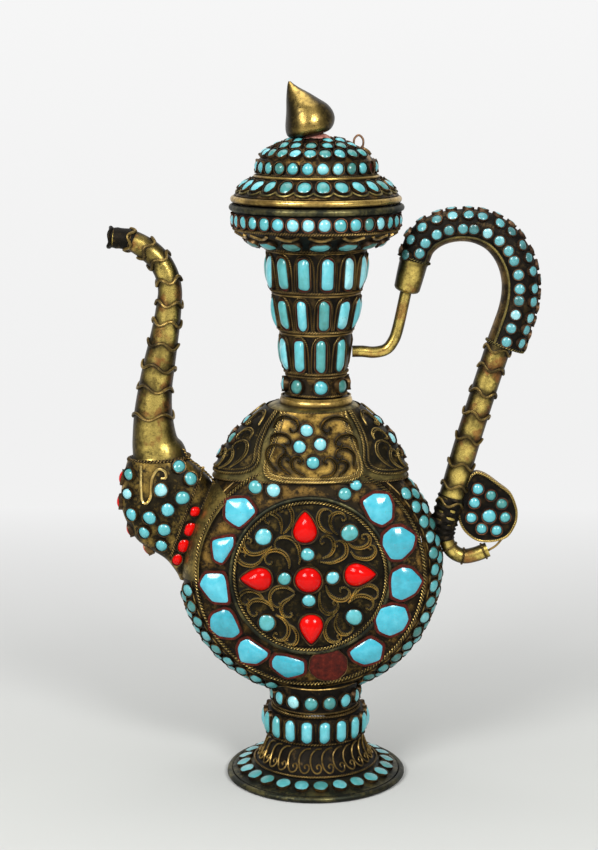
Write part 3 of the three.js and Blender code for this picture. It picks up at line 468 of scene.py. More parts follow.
def metal_finish(name, bright, middle, dark, roughness, patina=0.5, recess=2.2, grain=0.14, patch=95,
                 open_from=0.3, blush=None):
    """Old metal in worn and dark patches, with painted shade in its corners and a painted sheen and shade
    from its shade numbers.
    """
    finish = Finish(name)
    bright, middle, dark = paint(*bright), paint(*middle), paint(*dark)
    patches = finish.noise(patch, detail=5, roughness=0.66)
    specks = finish.noise(800, detail=4, roughness=0.62)
    stains = finish.noise(patch * 0.45, detail=4, roughness=0.7)
    # Shade numbers over a half paint a sheen, those under a half paint shade
    sheen_and_shade = finish.shade() - 0.5
    # Painted shade in corners and recesses comes from this ambient occlusion
    open_share = finish.between(open_from, 0.97, finish.shelter(recess))
    wear_and_sheen = finish.between(patina - 0.08, patina + 0.08, patches * 0.68 + specks * 0.32 + sheen_and_shade * 0.6)
    colour = finish.mix(wear_and_sheen, middle, bright)
    if blush:
        flush = finish.between(0.54, 0.64, finish.noise(patch * 1.3, detail=3)) * 0.7
        colour = finish.mix(flush, colour, paint(*blush))
    stained = finish.between(0.5, 0.64, specks * 0.4 + stains * 0.6 - sheen_and_shade * 0.4)
    colour = finish.mix(stained * 0.85, colour, dark)
    # Painted shade where the shade numbers are low: along the sides of tubes, beside wires and in rope
    # grooves
    colour = finish.mix((1 - finish.between(-0.45, -0.05, sheen_and_shade)) * 0.75, colour, dark)
    colour = finish.mix((1 - open_share) ** 0.7, colour, dark)
    return finish.set(
        Base_Color=colour, Metallic=finish.between(-0.15, 0.55, open_share) * 0.9,
        Roughness=roughness + 0.16 * (1 - wear_and_sheen) + 0.2 * (1 - open_share),
        Normal=finish.bump(patches * 0.6 + specks * 0.4, grain))


def stone_finish(name, stops, roughness, coat, mottle, veins=None, gleam=0.4):
    """Polished opaque stone, each piece with its own shade, and painted shade where its bezel hems it in."""
    finish = Finish(name)
    clouds = finish.noise(260, detail=4, roughness=0.6)
    value = finish.shade() * 0.75 + (clouds - 0.5) * mottle + 0.125
    colour = finish.ramp(value, *[(place, paint(*shown)) for place, shown in stops])
    if veins:
        specks = finish.noise(1500, detail=2, roughness=0.5)
        colour = finish.mix(finish.between(0.66, 0.74, specks) * 0.7, colour, paint(*veins))
    # Painted shade round the stone where its bezel hems it in, found by ambient occlusion
    painted_shade = 1 - finish.between(0.1, 0.7, finish.shelter(0.8))
    colour = finish.mix(painted_shade * 0.6, colour, paint(52, 44, 34))
    return finish.set(
        Base_Color=colour, Roughness=roughness + 0.2 * painted_shade, Coat_Weight=coat, Coat_Roughness=0.08,
        Specular_IOR_Level=gleam, Normal=finish.bump(clouds, 0.08))


def mastic_finish():
    """Red sealing paste round the stones, rough and dusty, with painted shade in its hollows."""
    finish = Finish("red mastic")
    lumps = finish.noise(420, detail=5, roughness=0.65)
    colour = finish.ramp(
        lumps, (0.3, paint(40, 10, 5)), (0.52, paint(74, 20, 11)), (0.75, paint(108, 38, 22)))
    # Painted shade in the paste's hollows, found by ambient occlusion
    open_share = finish.between(0.2, 0.9, finish.shelter(1.2))
    colour = finish.mix(1 - open_share, colour, paint(36, 17, 12))
    return finish.set(
        Base_Color=colour, Roughness=0.82, Specular_IOR_Level=0.2, Normal=finish.bump(lumps, 0.35))


def wax_finish():
    finish = Finish("pink wax")
    lumps = finish.noise(500, detail=3)
    colour = finish.ramp(lumps, (0.35, paint(176, 104, 90)), (0.65, paint(218, 160, 142)))
    return finish.set(Base_Color=colour, Roughness=0.7, Normal=finish.bump(lumps, 0.3))


bright_brass = metal_finish(
    "bright brass", (214, 180, 100), (128, 102, 52), (42, 33, 19), roughness=0.26, patina=0.49,
    recess=3.0)
gilt_sheet = metal_finish(
    "gilt sheet", (244, 198, 100), (84, 64, 30), (16, 13, 8), roughness=0.26, patina=0.515, recess=2.0,
    patch=120, open_from=0.6)
spout_brass = metal_finish(
    "spout brass", (230, 202, 108), (112, 96, 48), (38, 31, 18), roughness=0.24, recess=3.6,
    blush=(156, 98, 54))
ring_wire = metal_finish(
    "ring wire", (152, 126, 68), (70, 58, 34), (20, 17, 11), roughness=0.34, recess=1.0, open_from=0.15)
finial_brass = metal_finish(
    "finial brass", (216, 182, 100), (112, 94, 48), (34, 28, 17), roughness=0.22, recess=5.0, patch=60)
case_brass = metal_finish(
    "case brass", (168, 130, 64), (45, 36, 22), (17, 14, 10), roughness=0.36, patina=0.565, recess=2.4,
    patch=120)
plate_brass = metal_finish(
    "plate brass", (120, 98, 50), (32, 28, 17), (10, 9, 7), roughness=0.4, patina=0.6, recess=1.6,
    patch=150, open_from=0.5)
bulb_brass = metal_finish(
    "bulb brass", (190, 156, 78), (46, 39, 24), (16, 14, 10), roughness=0.34, patina=0.56, recess=2.6,
    patch=115)
strap_brass = metal_finish(
    "strap brass", (176, 150, 80), (86, 76, 44), (28, 25, 17), roughness=0.32, patina=0.52, recess=2.4,
    patch=110)
rope_brass = metal_finish(
    "rope brass", (192, 162, 90), (94, 78, 43), (26, 22, 14), roughness=0.3, patina=0.51, recess=0.8,
    open_from=0.15)
scroll_brass = metal_finish(
    "scroll brass", (250, 220, 138), (190, 160, 90), (60, 50, 28), roughness=0.32, patina=0.43, recess=0.3,
    open_from=0.02)
lining_brass = metal_finish(
    "lining brass", (150, 118, 62), (54, 42, 26), (20, 16, 12), roughness=0.34, patina=0.54, recess=1.6,
    patch=120)
dark_brass = metal_finish(
    "dark brass", (104, 82, 46), (46, 38, 24), (18, 15, 11), roughness=0.42, patina=0.55)
green_brass = metal_finish(
    "greened brass", (154, 136, 76), (78, 71, 42), (28, 26, 18), roughness=0.38, recess=2.8)
flange_brass = metal_finish(
    "flange brass", (122, 114, 72), (44, 46, 36), (18, 19, 16), roughness=0.36, patina=0.56, recess=2.8)
wire_brass = metal_finish(
    "brass wire", (232, 198, 114), (158, 130, 68), (40, 31, 17), roughness=0.28, patina=0.43, recess=0.8,
    open_from=0.1)
old_wire = metal_finish(
    "old brass wire", (178, 146, 82), (94, 75, 42), (24, 19, 13), roughness=0.32, recess=1.0,
    open_from=0.15)
bezel_brass = metal_finish(
    "bezel brass", (128, 100, 62), (62, 47, 33), (19, 15, 12), roughness=0.36, patina=0.52, recess=1.1)
black_brass = metal_finish(
    "blackened brass", (104, 82, 46), (28, 24, 18), (10, 9, 8), roughness=0.4, patina=0.6, patch=130)
copper_wire = metal_finish(
    "copper wire", (188, 146, 114), (124, 90, 68), (52, 38, 29), roughness=0.32, recess=1.1)
copper_bezel = metal_finish(
    "copper bezel", (150, 100, 70), (82, 54, 42), (26, 18, 15), roughness=0.38, recess=1.0)
brown_bezel = metal_finish(
    "brown bezel", (128, 98, 70), (66, 49, 37), (19, 15, 12), roughness=0.4, patina=0.54, recess=1.0)
turquoise = stone_finish(
    "turquoise",
    ((0.05, (52, 112, 104)), (0.32, (74, 154, 154)), (0.62, (92, 180, 190)), (0.97, (160, 214, 218))),
    roughness=0.3, coat=0.55, mottle=0.6, veins=(84, 80, 62))
plate_turquoise = stone_finish(
    "turquoise plate",
    ((0.05, (40, 128, 138)), (0.45, (60, 168, 188)), (0.9, (106, 200, 214))),
    roughness=0.24, coat=0.6, mottle=0.7, veins=(96, 108, 98))
# A duller, darker turquoise: on the edge and under the cup it is painted shade
dull_and_shaded_turquoise = stone_finish(
    "dull and shaded turquoise",
    ((0.05, (44, 92, 84)), (0.35, (64, 132, 130)), (0.65, (80, 158, 162)), (0.97, (132, 190, 192))),
    roughness=0.34, coat=0.4, mottle=0.7, veins=(74, 70, 52))
grey_turquoise = stone_finish(
    "grey turquoise",
    ((0.05, (46, 90, 88)), (0.35, (74, 138, 142)), (0.65, (92, 164, 170)), (0.97, (150, 198, 202))),
    roughness=0.34, coat=0.4, mottle=0.8, veins=(74, 70, 52))
coral = stone_finish(
    "coral",
    ((0.05, (160, 5, 2)), (0.5, (204, 5, 2)), (0.95, (224, 12, 6))),
    roughness=0.16, coat=0.1, mottle=0.3, gleam=0.16)
red_mastic = mastic_finish()
pink_wax = wax_finish()


# Stones in their settings
def outline(width, length, square=2.0, sides=14, uneven=0.0):
    """The rim of a stone: an oval, squarer with a higher `square`, or a rod with round ends where it is 0."""
    first, second = chance.uniform(0, 6.28), chance.uniform(0, 6.28)
    angles = (np.arange(sides) + 0.5) * 2 * math.pi / sides
    along, across = np.cos(angles), np.sin(angles)
    grow = 1 + uneven * (0.6 * np.sin(2 * angles + first) + 0.4 * np.sin(3 * angles + second))
    if square == 0:
        x = along * width / 2 * grow
        y = across * width / 2 + np.sign(across) * (length - width) / 2
        return np.stack([x, y * grow], 1)
    x = np.sign(along) * np.abs(along) ** (2 / square) * width / 2 * grow
    y = np.sign(across) * np.abs(across) ** (2 / square) * length / 2 * grow
    return np.stack([x, y], 1)


def spread(rim, distance):
    """The same rim, moved outwards by a distance."""
    rim = np.asarray(rim, float)
    along = unit(np.roll(rim, -1, 0) - np.roll(rim, 1, 0))
    return rim + np.stack([along[:, 1], -along[:, 0]], 1) * distance


def dome_profile(ball, wall):
    """Rings of a stone over its wall, as shares of width and height: part of a ball `ball` times as wide."""
    shares = np.array([1, 0.97, 0.9, 0.79, 0.64, 0.46, 0.25])
    edge_rise = math.sqrt(ball ** 2 - 1)
    rises = wall + (1 - wall) * (np.sqrt(ball ** 2 - shares ** 2) - edge_rise) / (ball - edge_rise)
    return [(1, 0), *zip(shares, rises)]


class Setting:
    """The stones of one part, set a little unevenly, with their bezels and the mastic between."""

    unevenness = 0.035
    disc_shares = dome_profile(ball=1.25, wall=0.5)
    rod_shares = dome_profile(ball=1.05, wall=0.34)
    dome_shares = disc_shares

    def __init__(self, wall=0.26, bezel_sides=14):
        self.stones, self.bezels, self.mastic = Shape(), Shape(), Shape()
        self.wall = wall
        self.bezel_sides = bezel_sides

    def dome(self, rim, height, place, outward, up, shade):
        """A polished stone on its rim, its sides a little domed up to its top."""
        rings = [lifted(rim * size, height * rise) for size, rise in self.dome_shares]
        top = [[*rim.mean(0), height]]
        n = len(rim)
        self.stones.bed(place, outward, up, np.concatenate([*rings, top]), bands(len(rings), n),
                        fan(n, (len(rings) - 1) * n), shade)

    def fill(self, edge, middle_height, place, outward, up, shade=0.5):
        """Mastic inside an edge, a little higher or lower in its middle."""
        points = np.concatenate([edge, [[0, 0, middle_height]]])
        self.mastic.bed(place, outward, up, points, None, fan(len(edge)), shade)

    def stone(self, place, outward, up, width, length=None, height=1.5, square=2.0, rise=1.0, margin=0.62,
              lost=False, uneven=0.06, sides=14, pale=0.0):
        """One stone: `rise` is the height of its bezel and `margin` the mastic left round it."""
        length = length or width
        outward = unit(np.asarray(outward) + np.array([chance.gauss(0, self.unevenness) for _ in range(3)]))
        rim = outline(width, length, square, sides, uneven)
        self.dome_shares = self.rod_shares if square == 0 else self.disc_shares
        if not lost:
            shade = min(max(chance.gauss(0.5 + pale, 0.26), 0), 1)
            self.dome(rim, height, place, outward, up, shade)
        wall = spread(outline(width, length, square, self.bezel_sides, uneven=0.02), margin)
        self.collar(wall, rise, place, outward, up)
        level = rise * (0.34 if lost else 0.56)
        self.fill(lifted(wall, level), level * 1.1, place, outward, up, chance.random())

    def collar(self, wall, rise, place, outward, up):
        """A thin upright strip round a stone, its edge a little uneven."""
        n = len(wall)
        inner = spread(wall, -self.wall)
        crest = rise + rise * 0.1 * np.sin(np.arange(n) * 1.9 + chance.uniform(0, 6.28))
        levels = [lifted(wall, -0.5), lifted(wall, crest), lifted(inner, crest), lifted(inner, 0.0)]
        self.bezels.bed(place, outward, up, np.concatenate(levels), bands(4, n))

    def pieces(self, name, body="ewer", stones=turquoise, bezels=bezel_brass, slot="blue_turquoise"):
        """Makes the stones, the bezels and the mastic three pieces."""
        if self.stones.count:
            self.stones.piece(f"{name}_stones", stones, slot, body=body)
        self.bezels.piece(f"{name}_bezels", bezels, "old_brass", body=body)
        self.mastic.piece(f"{name}_mastic", red_mastic, "red_mastic", body=body)


def refinish(node, finish):
    """Gives a finish to a solid that stays as it is."""
    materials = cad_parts[node].data.materials
    materials.clear()
    materials.append(finish)


def on_turned(profile, angle, z):
    """A place on a form turned about the upright axis, with its outward and its upward direction."""
    radii, heights = np.asarray(profile, float).T
    radius = np.interp(z, heights, radii)
    slope = (np.interp(z + 0.3, heights, radii) - np.interp(z - 0.3, heights, radii)) / 0.6
    around = bearing(angle)
    return around * radius + UP * z, unit(around - UP * slope), unit(around * slope + UP)


def wrapped(profile, turn, base=0.0, lift=0.3, radius=None):
    """A surface on a turned form, from millimetres across from an angle and up from a height."""
    radii, heights = np.asarray(profile, float).T

    def surface(across, rise):
        reach = radius or np.interp(base + rise, heights, radii)
        place, outward, _ = on_turned(profile, turn + across / reach, base + rise)
        return place + outward * lift, outward
    return surface


def stone_row(seats, profile, z, count, start, width, length=None, sunk=0.0, lost=None, **look):
    """A row of stones round a turned form at a height, the first so many degrees past the front."""
    for i, angle in enumerate(spaced(count, start)):
        place, outward, up = on_turned(profile, angle, z)
        seats.stone(place - outward * sunk, outward, up, width, length, lost=i == lost, **look)


# Foot
flange = {"inner": 24.4, "inner_z": 6.5, "outer": 36.9, "outer_z": 2.6, "rim": 38.2, "wire": 1.4,
          "stone_ring": 31.7}
flare = [(27.2, 6.8), (25.6, 7.9), (23.9, 9.9), (22.5, 12.6), (21.4, 15.6), (20.4, 18.7)]
crescent = [(2.6, 18.2), (0.2, 17.7), (-1.8, 15.6), (-2.3, 12.6), (-1.6, 9.8), (0.2, 8.3), (2.0, 8.8),
            (2.5, 10.6), (1.4, 11.6), (0.4, 10.8), (0.9, 9.9)]
long_tier = {"radius": 21.2, "bulge": 0.7, "stones": 18}
round_tier = {"radius": 18.3, "stones": 15, "stone_z": 38.2}


def make_foot():
    refinish("base_disc", dark_brass)
    make_flange()
    make_skirt()
    for which, radius in (("lower", 20.1), ("upper", 19.2)):
        rope = Shape().ring(radius, halfway(f"foot_{which}_wire"), 0.75, bead=1.3)
        rope.piece(f"foot_{which}_rope", old_wire, "old_brass", f"foot_{which}_wire")
    make_long_tier()
    make_foot_collar()


def make_flange():
    """The sloping flange of the foot with its rolled rim and its ring of round stones."""
    inner, inner_z = flange["inner"], flange["inner_z"]
    outer, outer_z = flange["outer"], flange["outer_z"]
    plate = Shape().turned([
        (inner, inner_z - 1), (inner, inner_z), ((inner + outer) / 2, (inner_z + outer_z) / 2 + 0.15),
        (outer, outer_z), (outer, outer_z - 1.3)], facets=160, wobble=0.1)
    plate.tube(ring_line(flange["rim"], flange["wire"], wobble=0.12), flange["wire"], sides=12, closed=True)
    plate.piece("foot_flange_plate", flange_brass, "old_brass", "foot_flange")
    Shape().ring(inner + 1.4, inner_z + 0.1, 0.5, bead=1.2).piece("foot_flange_wires", old_wire, "old_brass")
    slope = (inner_z - outer_z) / (outer - inner)
    z = inner_z - (flange["stone_ring"] - inner) * slope
    seats = Setting()
    seats.disc_shares = dome_profile(ball=1.7, wall=0.7)
    for i, angle in enumerate(spaced(24, start=4)):
        around = bearing(angle)
        seats.stone(around * flange["stone_ring"] + UP * z, unit(UP + around * slope), around, 6.2,
                    height=2.0, rise=1.6, margin=0.3, lost=i == 13, uneven=0.04, sides=20)
    seats.pieces("foot_flange", stones=dull_and_shaded_turquoise)


def make_skirt():
    """The flared skirt of the foot, with a loop of wire many times round it."""
    hidden = [(flare[-1][0] - 2, flare[-1][1]), (flare[0][0] - 2, flare[0][1])]
    Shape().turned(flare + hidden, facets=160, closed=True).piece(
        "foot_skirt_sheet", black_brass, "dark_brass", "foot_skirt")
    crescents, loop = Shape(), curve(crescent, steps=4)
    for turn in full_turn(28):
        crescents.tube(laid(wrapped(flare, turn, lift=0.25), loop), 0.38, sides=6, flat=1.5)
    crescents.ring(flare[0][0] + 0.1, flare[0][1] + 0.6, 0.5, bead=1.2)
    crescents.piece("foot_skirt_wires", old_wire, "old_brass")


def make_long_tier():
    """The band of tall stones, with a twisted post between each two."""
    bottom, top = low("foot_long_tier"), high("foot_long_tier")
    radius = long_tier["radius"]
    swell = [(radius, bottom), (radius + long_tier["bulge"], (bottom + top) / 2), (radius, top)]
    Shape().turned([(18, bottom)] + swell + [(18, top)], facets=160).piece(
        "foot_long_tier_sheet", black_brass, "dark_brass", "foot_long_tier")
    seats, posts = Setting(bezel_sides=20), Shape()
    stone_row(seats, swell, halfway("foot_long_tier"), long_tier["stones"], start=10, width=4.7, length=9.8,
              sunk=0.6, height=2.9, square=0, rise=1.5, margin=0.5, sides=20, pale=0.05)
    for angle in spaced(long_tier["stones"], start=10):
        for side in (-1, 1):
            between = wrapped(swell, angle + side * math.pi / long_tier["stones"], bottom, lift=0.2)
            post = [(0, share * (top - bottom)) for share in (0.1, 0.5, 0.9)]
            posts.rope(laid(between, post), 0.4, bead=0.9, sides=6)
    posts.piece("foot_long_tier_wires", old_wire, "old_brass")
    seats.pieces("foot_long_tier")


def body_underside(x, y):
    """The height of the body's lower skin over a place, or a large number beside the body."""
    deep = abs(y)
    reach = edge["centre"] + math.sqrt(max(edge["radius"] ** 2 - deep ** 2, 0))
    if deep > face["rope_depth"]:
        share = (deep - face["rope_depth"]) / (face["field_depth"] - face["rope_depth"])
        reach = face["rope_radius"] + (face["field_radius"] - face["rope_radius"]) * share
    inside = reach ** 2 - (x - body_x) ** 2
    return body_z - math.sqrt(inside) if inside > 0 and reach > 0 else 1e3


def make_foot_collar():
    """The band of round stones, its upper edge cut to the body that it carries."""
    bottom, top = low("foot_round_tier"), high("foot_round_tier")
    radius = round_tier["radius"]
    angles = full_turn(160)
    meeting = [body_underside(radius * math.cos(a), radius * math.sin(a)) + 0.3 for a in angles]
    crest = np.minimum(meeting, top)
    around = np.stack([np.cos(angles), np.sin(angles), 0 * angles], 1)
    rings = [around * (radius + 0.25 * share) + UP * (bottom + (crest - bottom) * share)[:, None]
             for share in np.linspace(0, 1, 6)]
    rings.append(around * (radius - 2) + UP * crest[:, None])
    Shape().skin(rings).piece("foot_collar", black_brass, "old_brass", "foot_round_tier")
    saddle = np.hstack([around * (radius + 0.35) + UP * (crest - 0.5)[:, None], around])
    trim = Shape().tube(saddle, 0.36, sides=6, closed=True)
    trim.ring(radius + 0.45, bottom + 0.35, 0.45, bead=1.0)
    trim.piece("foot_collar_trim", old_wire, "old_brass")
    seats = Setting()
    for angle in spaced(round_tier["stones"], start=-6):
        room = np.interp(angle % (2 * math.pi), angles, crest)
        if room > round_tier["stone_z"] + 2.6:
            seats.stone(bearing(angle) * radius + UP * round_tier["stone_z"], bearing(angle), UP, 6.0,
                        height=2.4, rise=1.9, margin=0.35)
    seats.pieces("foot_collar")


# Body: a moon-shaped case a little to the left of the foot's axis
body_radius = (high("body_edge_band", 0) - low("body_edge_band", 0)) / 2
body_x = halfway("body_edge_band", 0)
body_z = low("body_edge_band") + body_radius
face = {"rope_radius": 50.3, "rope_depth": high("body_edge_band", 1), "field_radius": 33.2,
        "field_depth": 18.2, "medallion_radius": 31.6, "crown_depth": 21.5, "crown_slope": 0.066,
        "field_slope": 0.199}
edge = {"depth": face["rope_depth"]}
edge["centre"] = (body_radius ** 2 - face["rope_radius"] ** 2 - edge["depth"] ** 2) / (
    2 * (body_radius - face["rope_radius"]))
edge["radius"] = body_radius - edge["centre"]
edge["spread"] = math.atan2(edge["depth"], face["rope_radius"] - edge["centre"])


def on_edge(turn, lean):
    """A place on the rounded edge: `turn` goes round the case, `lean` from side to side."""
    aside = np.array([math.cos(turn), 0, math.sin(turn)])
    outward = aside * math.cos(lean) + np.array([0, math.sin(lean), 0])
    middle = np.array([body_x, 0, body_z])
    return middle + aside * edge["centre"] + outward * edge["radius"], outward


def face_depth(radius):
    """How far the face stands forward at a distance from its middle."""
    if radius < face["medallion_radius"]:
        return face["crown_depth"] - radius * face["crown_slope"]
    share = (radius - face["field_radius"]) / (face["rope_radius"] - face["field_radius"])
    return face["field_depth"] + (face["rope_depth"] - face["field_depth"]) * share


def on_face(across, rise, side=-1):
    """A place on a round face, from its middle, with its outward direction. The back face is side 1."""
    radius = math.hypot(across, rise)
    slope = face["crown_slope"] if radius < face["medallion_radius"] else face["field_slope"]
    aside = np.array([across, 0, rise]) / max(radius, 1e-6)
    place = np.array([body_x + across, side * face_depth(radius), body_z + rise])
    return place, unit(np.array([0, side, 0]) + aside * slope)


def on_circle(radius, depth, side, count=260, start=0.0, end=2 * math.pi):
    """A circle round the face, with its outward directions."""
    angles = np.linspace(start, end, count, endpoint=end - start < 2 * math.pi - 0.01)
    aside = np.stack([np.cos(angles), 0 * angles, np.sin(angles)], 1)
    return facing(aside * radius + [body_x, side * depth, body_z], [0.0, side, 0.0])


# Large turquoise plates of a face: middle, then corners from it, as seen from the front
plates = [
    ((-29.7, 27.9), [(-6.1, 5), (2.3, 5.9), (6.6, 0.4), (-0.4, -6.6), (-6.3, -2.8)]),
    ((-37.3, 11.6), [(-4.7, 3.7), (4.4, 5.7), (4.4, 1.7), (-0.2, -5.9), (-3.7, -4.4)]),
    ((-41.4, -5.2), [(-3.3, 5.7), (4, 5.9), (5.1, 3.4), (6.1, -5.5), (5.3, -6.3), (-0.7, -6.3),
                     (-6.2, 0.8)]),
    ((-36.9, -21.2), [(-0.1, 6), (2, 5.5), (3.5, 3.8), (6.6, -3.7), (3.5, -6.3), (-2.5, -5.9),
                      (-6, -2.9), (-5.9, 1.6), (-4.7, 3.8)]),
    ((-25.1, -33.6), [(-1.8, 5.6), (6.6, -0.3), (6.3, -2.2), (1.8, -5.9), (-4.9, -5.2), (-6, 0.8),
                      (-4.6, 4.1)]),
    ((-9.6, -40.5), [(-5.1, 5.1), (-1.2, 4.8), (6.8, 2.4), (6.6, -3.2), (-0.8, -5.5), (-6.4, -0.6),
                     (-6.6, 2.4)]),
    ((7.7, -40), [(-6.5, 2.5), (-3, 6), (3, 6.3), (6.8, 2.8), (6.8, -2.5), (3, -6.3), (-3, -6),
                    (-6.8, -2.5)]),
    ((24.1, -33.5), [(-7.1, 0), (1.5, 6.1), (6.9, 2.3), (6, -4.4), (-0.5, -6.3), (-5, -4)]),
    ((35.1, -19.7), [(0, 6.7), (5.3, 5.4), (7, 0), (4.7, -4.6), (-0.7, -6.9), (-5.5, -4.5), (-7, 0.5),
                     (-5, 5.5)]),
    ((41.1, -3.2), [(-6, 4.7), (-2, 6.7), (2, 6), (6.8, 0.7), (3.7, -4.6), (-2, -7.3), (-6, -5.3),
                    (-6.5, 0.7)]),
    ((37.7, 14.2), [(-2.9, 6.7), (1.1, 7), (7, 3), (5.8, -2.3), (1.1, -6.6), (-3.5, -6.3), (-6.9, -0.3),
                    (-6.5, 3.7)]),
    ((28.8, 29.1), [(-6.7, 3.4), (-1.7, 6.6), (4.2, 6.1), (5.8, 2), (5.6, -3.9), (1.5, -6.6),
                    (-3, -4.3)]),
]
lost_plate = 6
plate_look = {"size": 1.16, "mastic": 0.75, "rise": 1.5, "level": 1.2, "height": 3.5}
loose_stones = [(-23.5, 38.6, 5.8), (-15.7, 37.4, 5.8), (14.6, 35.9, 5.5), (19.4, 39.6, 5.0)]

# Medallion: small round stones (middle, width), and wire scrolls (tail, eye, turning)
medallion_stones = [((-1.2, 10.3), 5.4), ((-11.0, -0.2), 5.4), ((9.4, 0.3), 5.4), ((-0.6, -9.8), 5.4),
                    ((-20.0, 17.9), 7.0), ((16.7, 19.6), 7.0), ((-18.7, -20.1), 7.0), ((18.8, -17.4), 7.0)]
# Corals of a medallion: place from its middle, and the way its narrow end points in degrees
corals = {"centre": ((-0.8, -0.7), 90), "top": ((-2.3, 22.0), 90), "left": ((-23.2, -0.7), 180),
          "bottom": ((0.4, -23.0), 270), "right": ((21.3, 1.3), 0)}
coral_look = {"height": 4.0, "margin": 0.75, "rise": 1.5, "mastic": 0.8}
medallion_view = traced(-20.8, (body_x, body_z))
medallion_scrolls = [medallion_view(points) for points in (
    [(280.8, 533.8), (281.1, 527.1), (278.6, 519.9), (273.6, 516), (268.6, 515.8), (265.2, 518.8),
     (265.8, 522.7), (268.6, 523.8), (269.7, 521.3)],
    [(283, 533.8), (288.6, 528.2), (291.6, 521), (290.8, 512.7), (286.9, 507.7), (282.4, 507.1),
     (279.7, 509.9), (281.1, 512.7), (283.3, 511)],
    [(271.9, 546.6), (264.7, 550.4), (256.9, 553.2), (249.1, 552.1), (244.9, 546.6), (244.7, 541),
     (248, 538.8), (251.6, 540.4), (250.6, 543.3)],
    [(264.1, 554.9), (259.1, 561.6), (251.9, 564.9), (243.6, 563.2), (238.9, 558.8), (238.9, 553.8),
     (242.4, 552.1), (245.8, 553.8), (244.4, 556.9)],
    [(299.1, 563.8), (299.7, 556), (296.9, 546), (291.3, 539.9), (283.6, 538), (276.9, 539.9),
     (274.7, 544.3), (276.3, 548.8), (280.7, 549.1)],
    [(289.1, 568.2), (288.6, 561.6), (283.6, 554.3), (275.8, 551.6), (268.6, 553.2), (265.2, 558.2),
     (266.7, 563.2), (270.8, 564.2), (272, 561.3)],
    [(332.4, 533.8), (325.8, 531), (320.8, 525.4), (319.1, 518.2), (321.9, 511.6), (326.9, 509.9),
     (331.3, 512.1), (331.3, 515.4), (328.3, 516.4)],
    [(337.4, 534.9), (333, 529.3), (331.3, 522.1), (333.6, 516), (339.1, 513.8), (344.1, 515.4),
     (345.6, 519.3), (343, 521.3), (341.6, 518.6)],
    [(322.4, 558.2), (329.1, 554.3), (332.4, 548.2), (331.9, 541.6), (328, 537.1), (323, 537.1),
     (320.2, 540.4), (321.6, 544), (324.2, 542.1)],
    [(320.2, 561.6), (330.2, 562.1), (339.1, 558.8), (344.7, 553.8), (345.2, 546.6), (341.9, 542.1),
     (337.4, 541.3), (334.1, 543.8), (334.9, 546.8), (337.8, 545.6)],
    [(348, 542.7), (353.6, 546.6), (361.3, 547.1), (367.4, 543.8), (368.9, 538.8), (366.3, 534.9),
     (362.4, 535.4), (361.9, 538.8), (364.4, 539.1)],
    [(350.8, 551.6), (355.8, 556.6), (363.6, 558.2), (370.8, 557.1), (374.7, 551.6), (373.3, 546.6),
     (369.7, 545.4), (368.2, 548.2), (370.9, 549.6)],
    [(264.7, 600.4), (259.1, 594.9), (252.4, 592.1), (244.7, 593.2), (240.4, 597.7), (241.6, 602.9),
     (245.6, 605.1), (249.1, 602.4), (247.8, 599.3)],
    [(273.6, 610.4), (269.1, 604.9), (261.3, 601.6), (253.6, 602.1), (249.1, 607.1), (250.2, 613.8),
     (254.1, 616.6), (257.4, 614.3), (256.2, 611.8)],
    [(294.7, 591.6), (286.9, 587.7), (278, 588.2), (272.4, 592.7), (270.8, 599.3), (273.6, 604.9),
     (278, 607.1), (280.8, 604.9), (278.9, 602.7)],
    [(294.7, 593.8), (289.1, 599.3), (283.6, 604.3), (282.4, 610.4), (284.7, 615.4), (289.7, 617.1),
     (292.4, 614.4), (290.2, 612.4)],
    [(275.8, 614.9), (282.4, 619.3), (286.9, 626), (286.9, 633.8), (283, 639.3), (276.9, 639.9),
     (273.6, 636.6), (274.7, 633.2), (277.3, 634.4)],
    [(288.6, 624.3), (293.6, 629.3), (296.3, 636), (294.7, 642.7), (290.2, 644.9), (285.8, 643.2),
     (285.2, 639.9), (288.2, 640.4)],
    [(319.7, 591.6), (319.7, 599.3), (321.9, 607.1), (327.4, 612.1), (333.6, 611.6), (337.4, 607.1),
     (337.4, 602.7), (334.7, 600.4), (332.9, 603.1), (335.3, 604.3)],
    [(325.8, 584.9), (328.6, 591.6), (334.7, 597.1), (342.4, 598.8), (348, 595.4), (348.6, 590.4),
     (344.7, 587.1), (340.2, 588.2), (340.4, 591.8)],
    [(350.2, 599.3), (355.8, 592.7), (362.4, 587.7), (370.2, 586.6), (376.9, 590.4), (377.4, 596.6),
     (373.6, 599.3), (371.1, 596.7)],
    [(348, 602.7), (355.8, 597.7), (363.6, 597.1), (371.3, 600.4), (373, 606), (369.7, 609.9),
     (365.8, 608.2)],
    [(334.7, 614.9), (328.6, 620.4), (325.8, 628.2), (326.9, 636), (331.3, 641), (337.4, 641.6),
     (341.3, 638.2), (340.2, 634.9), (337.3, 636), (338.2, 638.7)],
    [(338, 613.8), (336.3, 621.6), (338, 628.2), (342.4, 633.2), (348.6, 633.8), (353, 629.9),
     (352.4, 625.8), (349.3, 624.7)],
)]
filigree = {"radius": 0.43, "second": 0.3, "bead": 0.9, "height": 2.6, "lift": 0.6, "share": 0.68}


def doubled(line, apart):
    """A wire that leaves a scroll at its tail, bows outwards beside it and comes back to it."""
    part = line[:max(int(len(line) * filigree["share"]), 4)]
    bow = np.sin(np.linspace(0, math.pi, len(part)))[:, None]
    return part + unit(part - line[-1]) * apart * bow


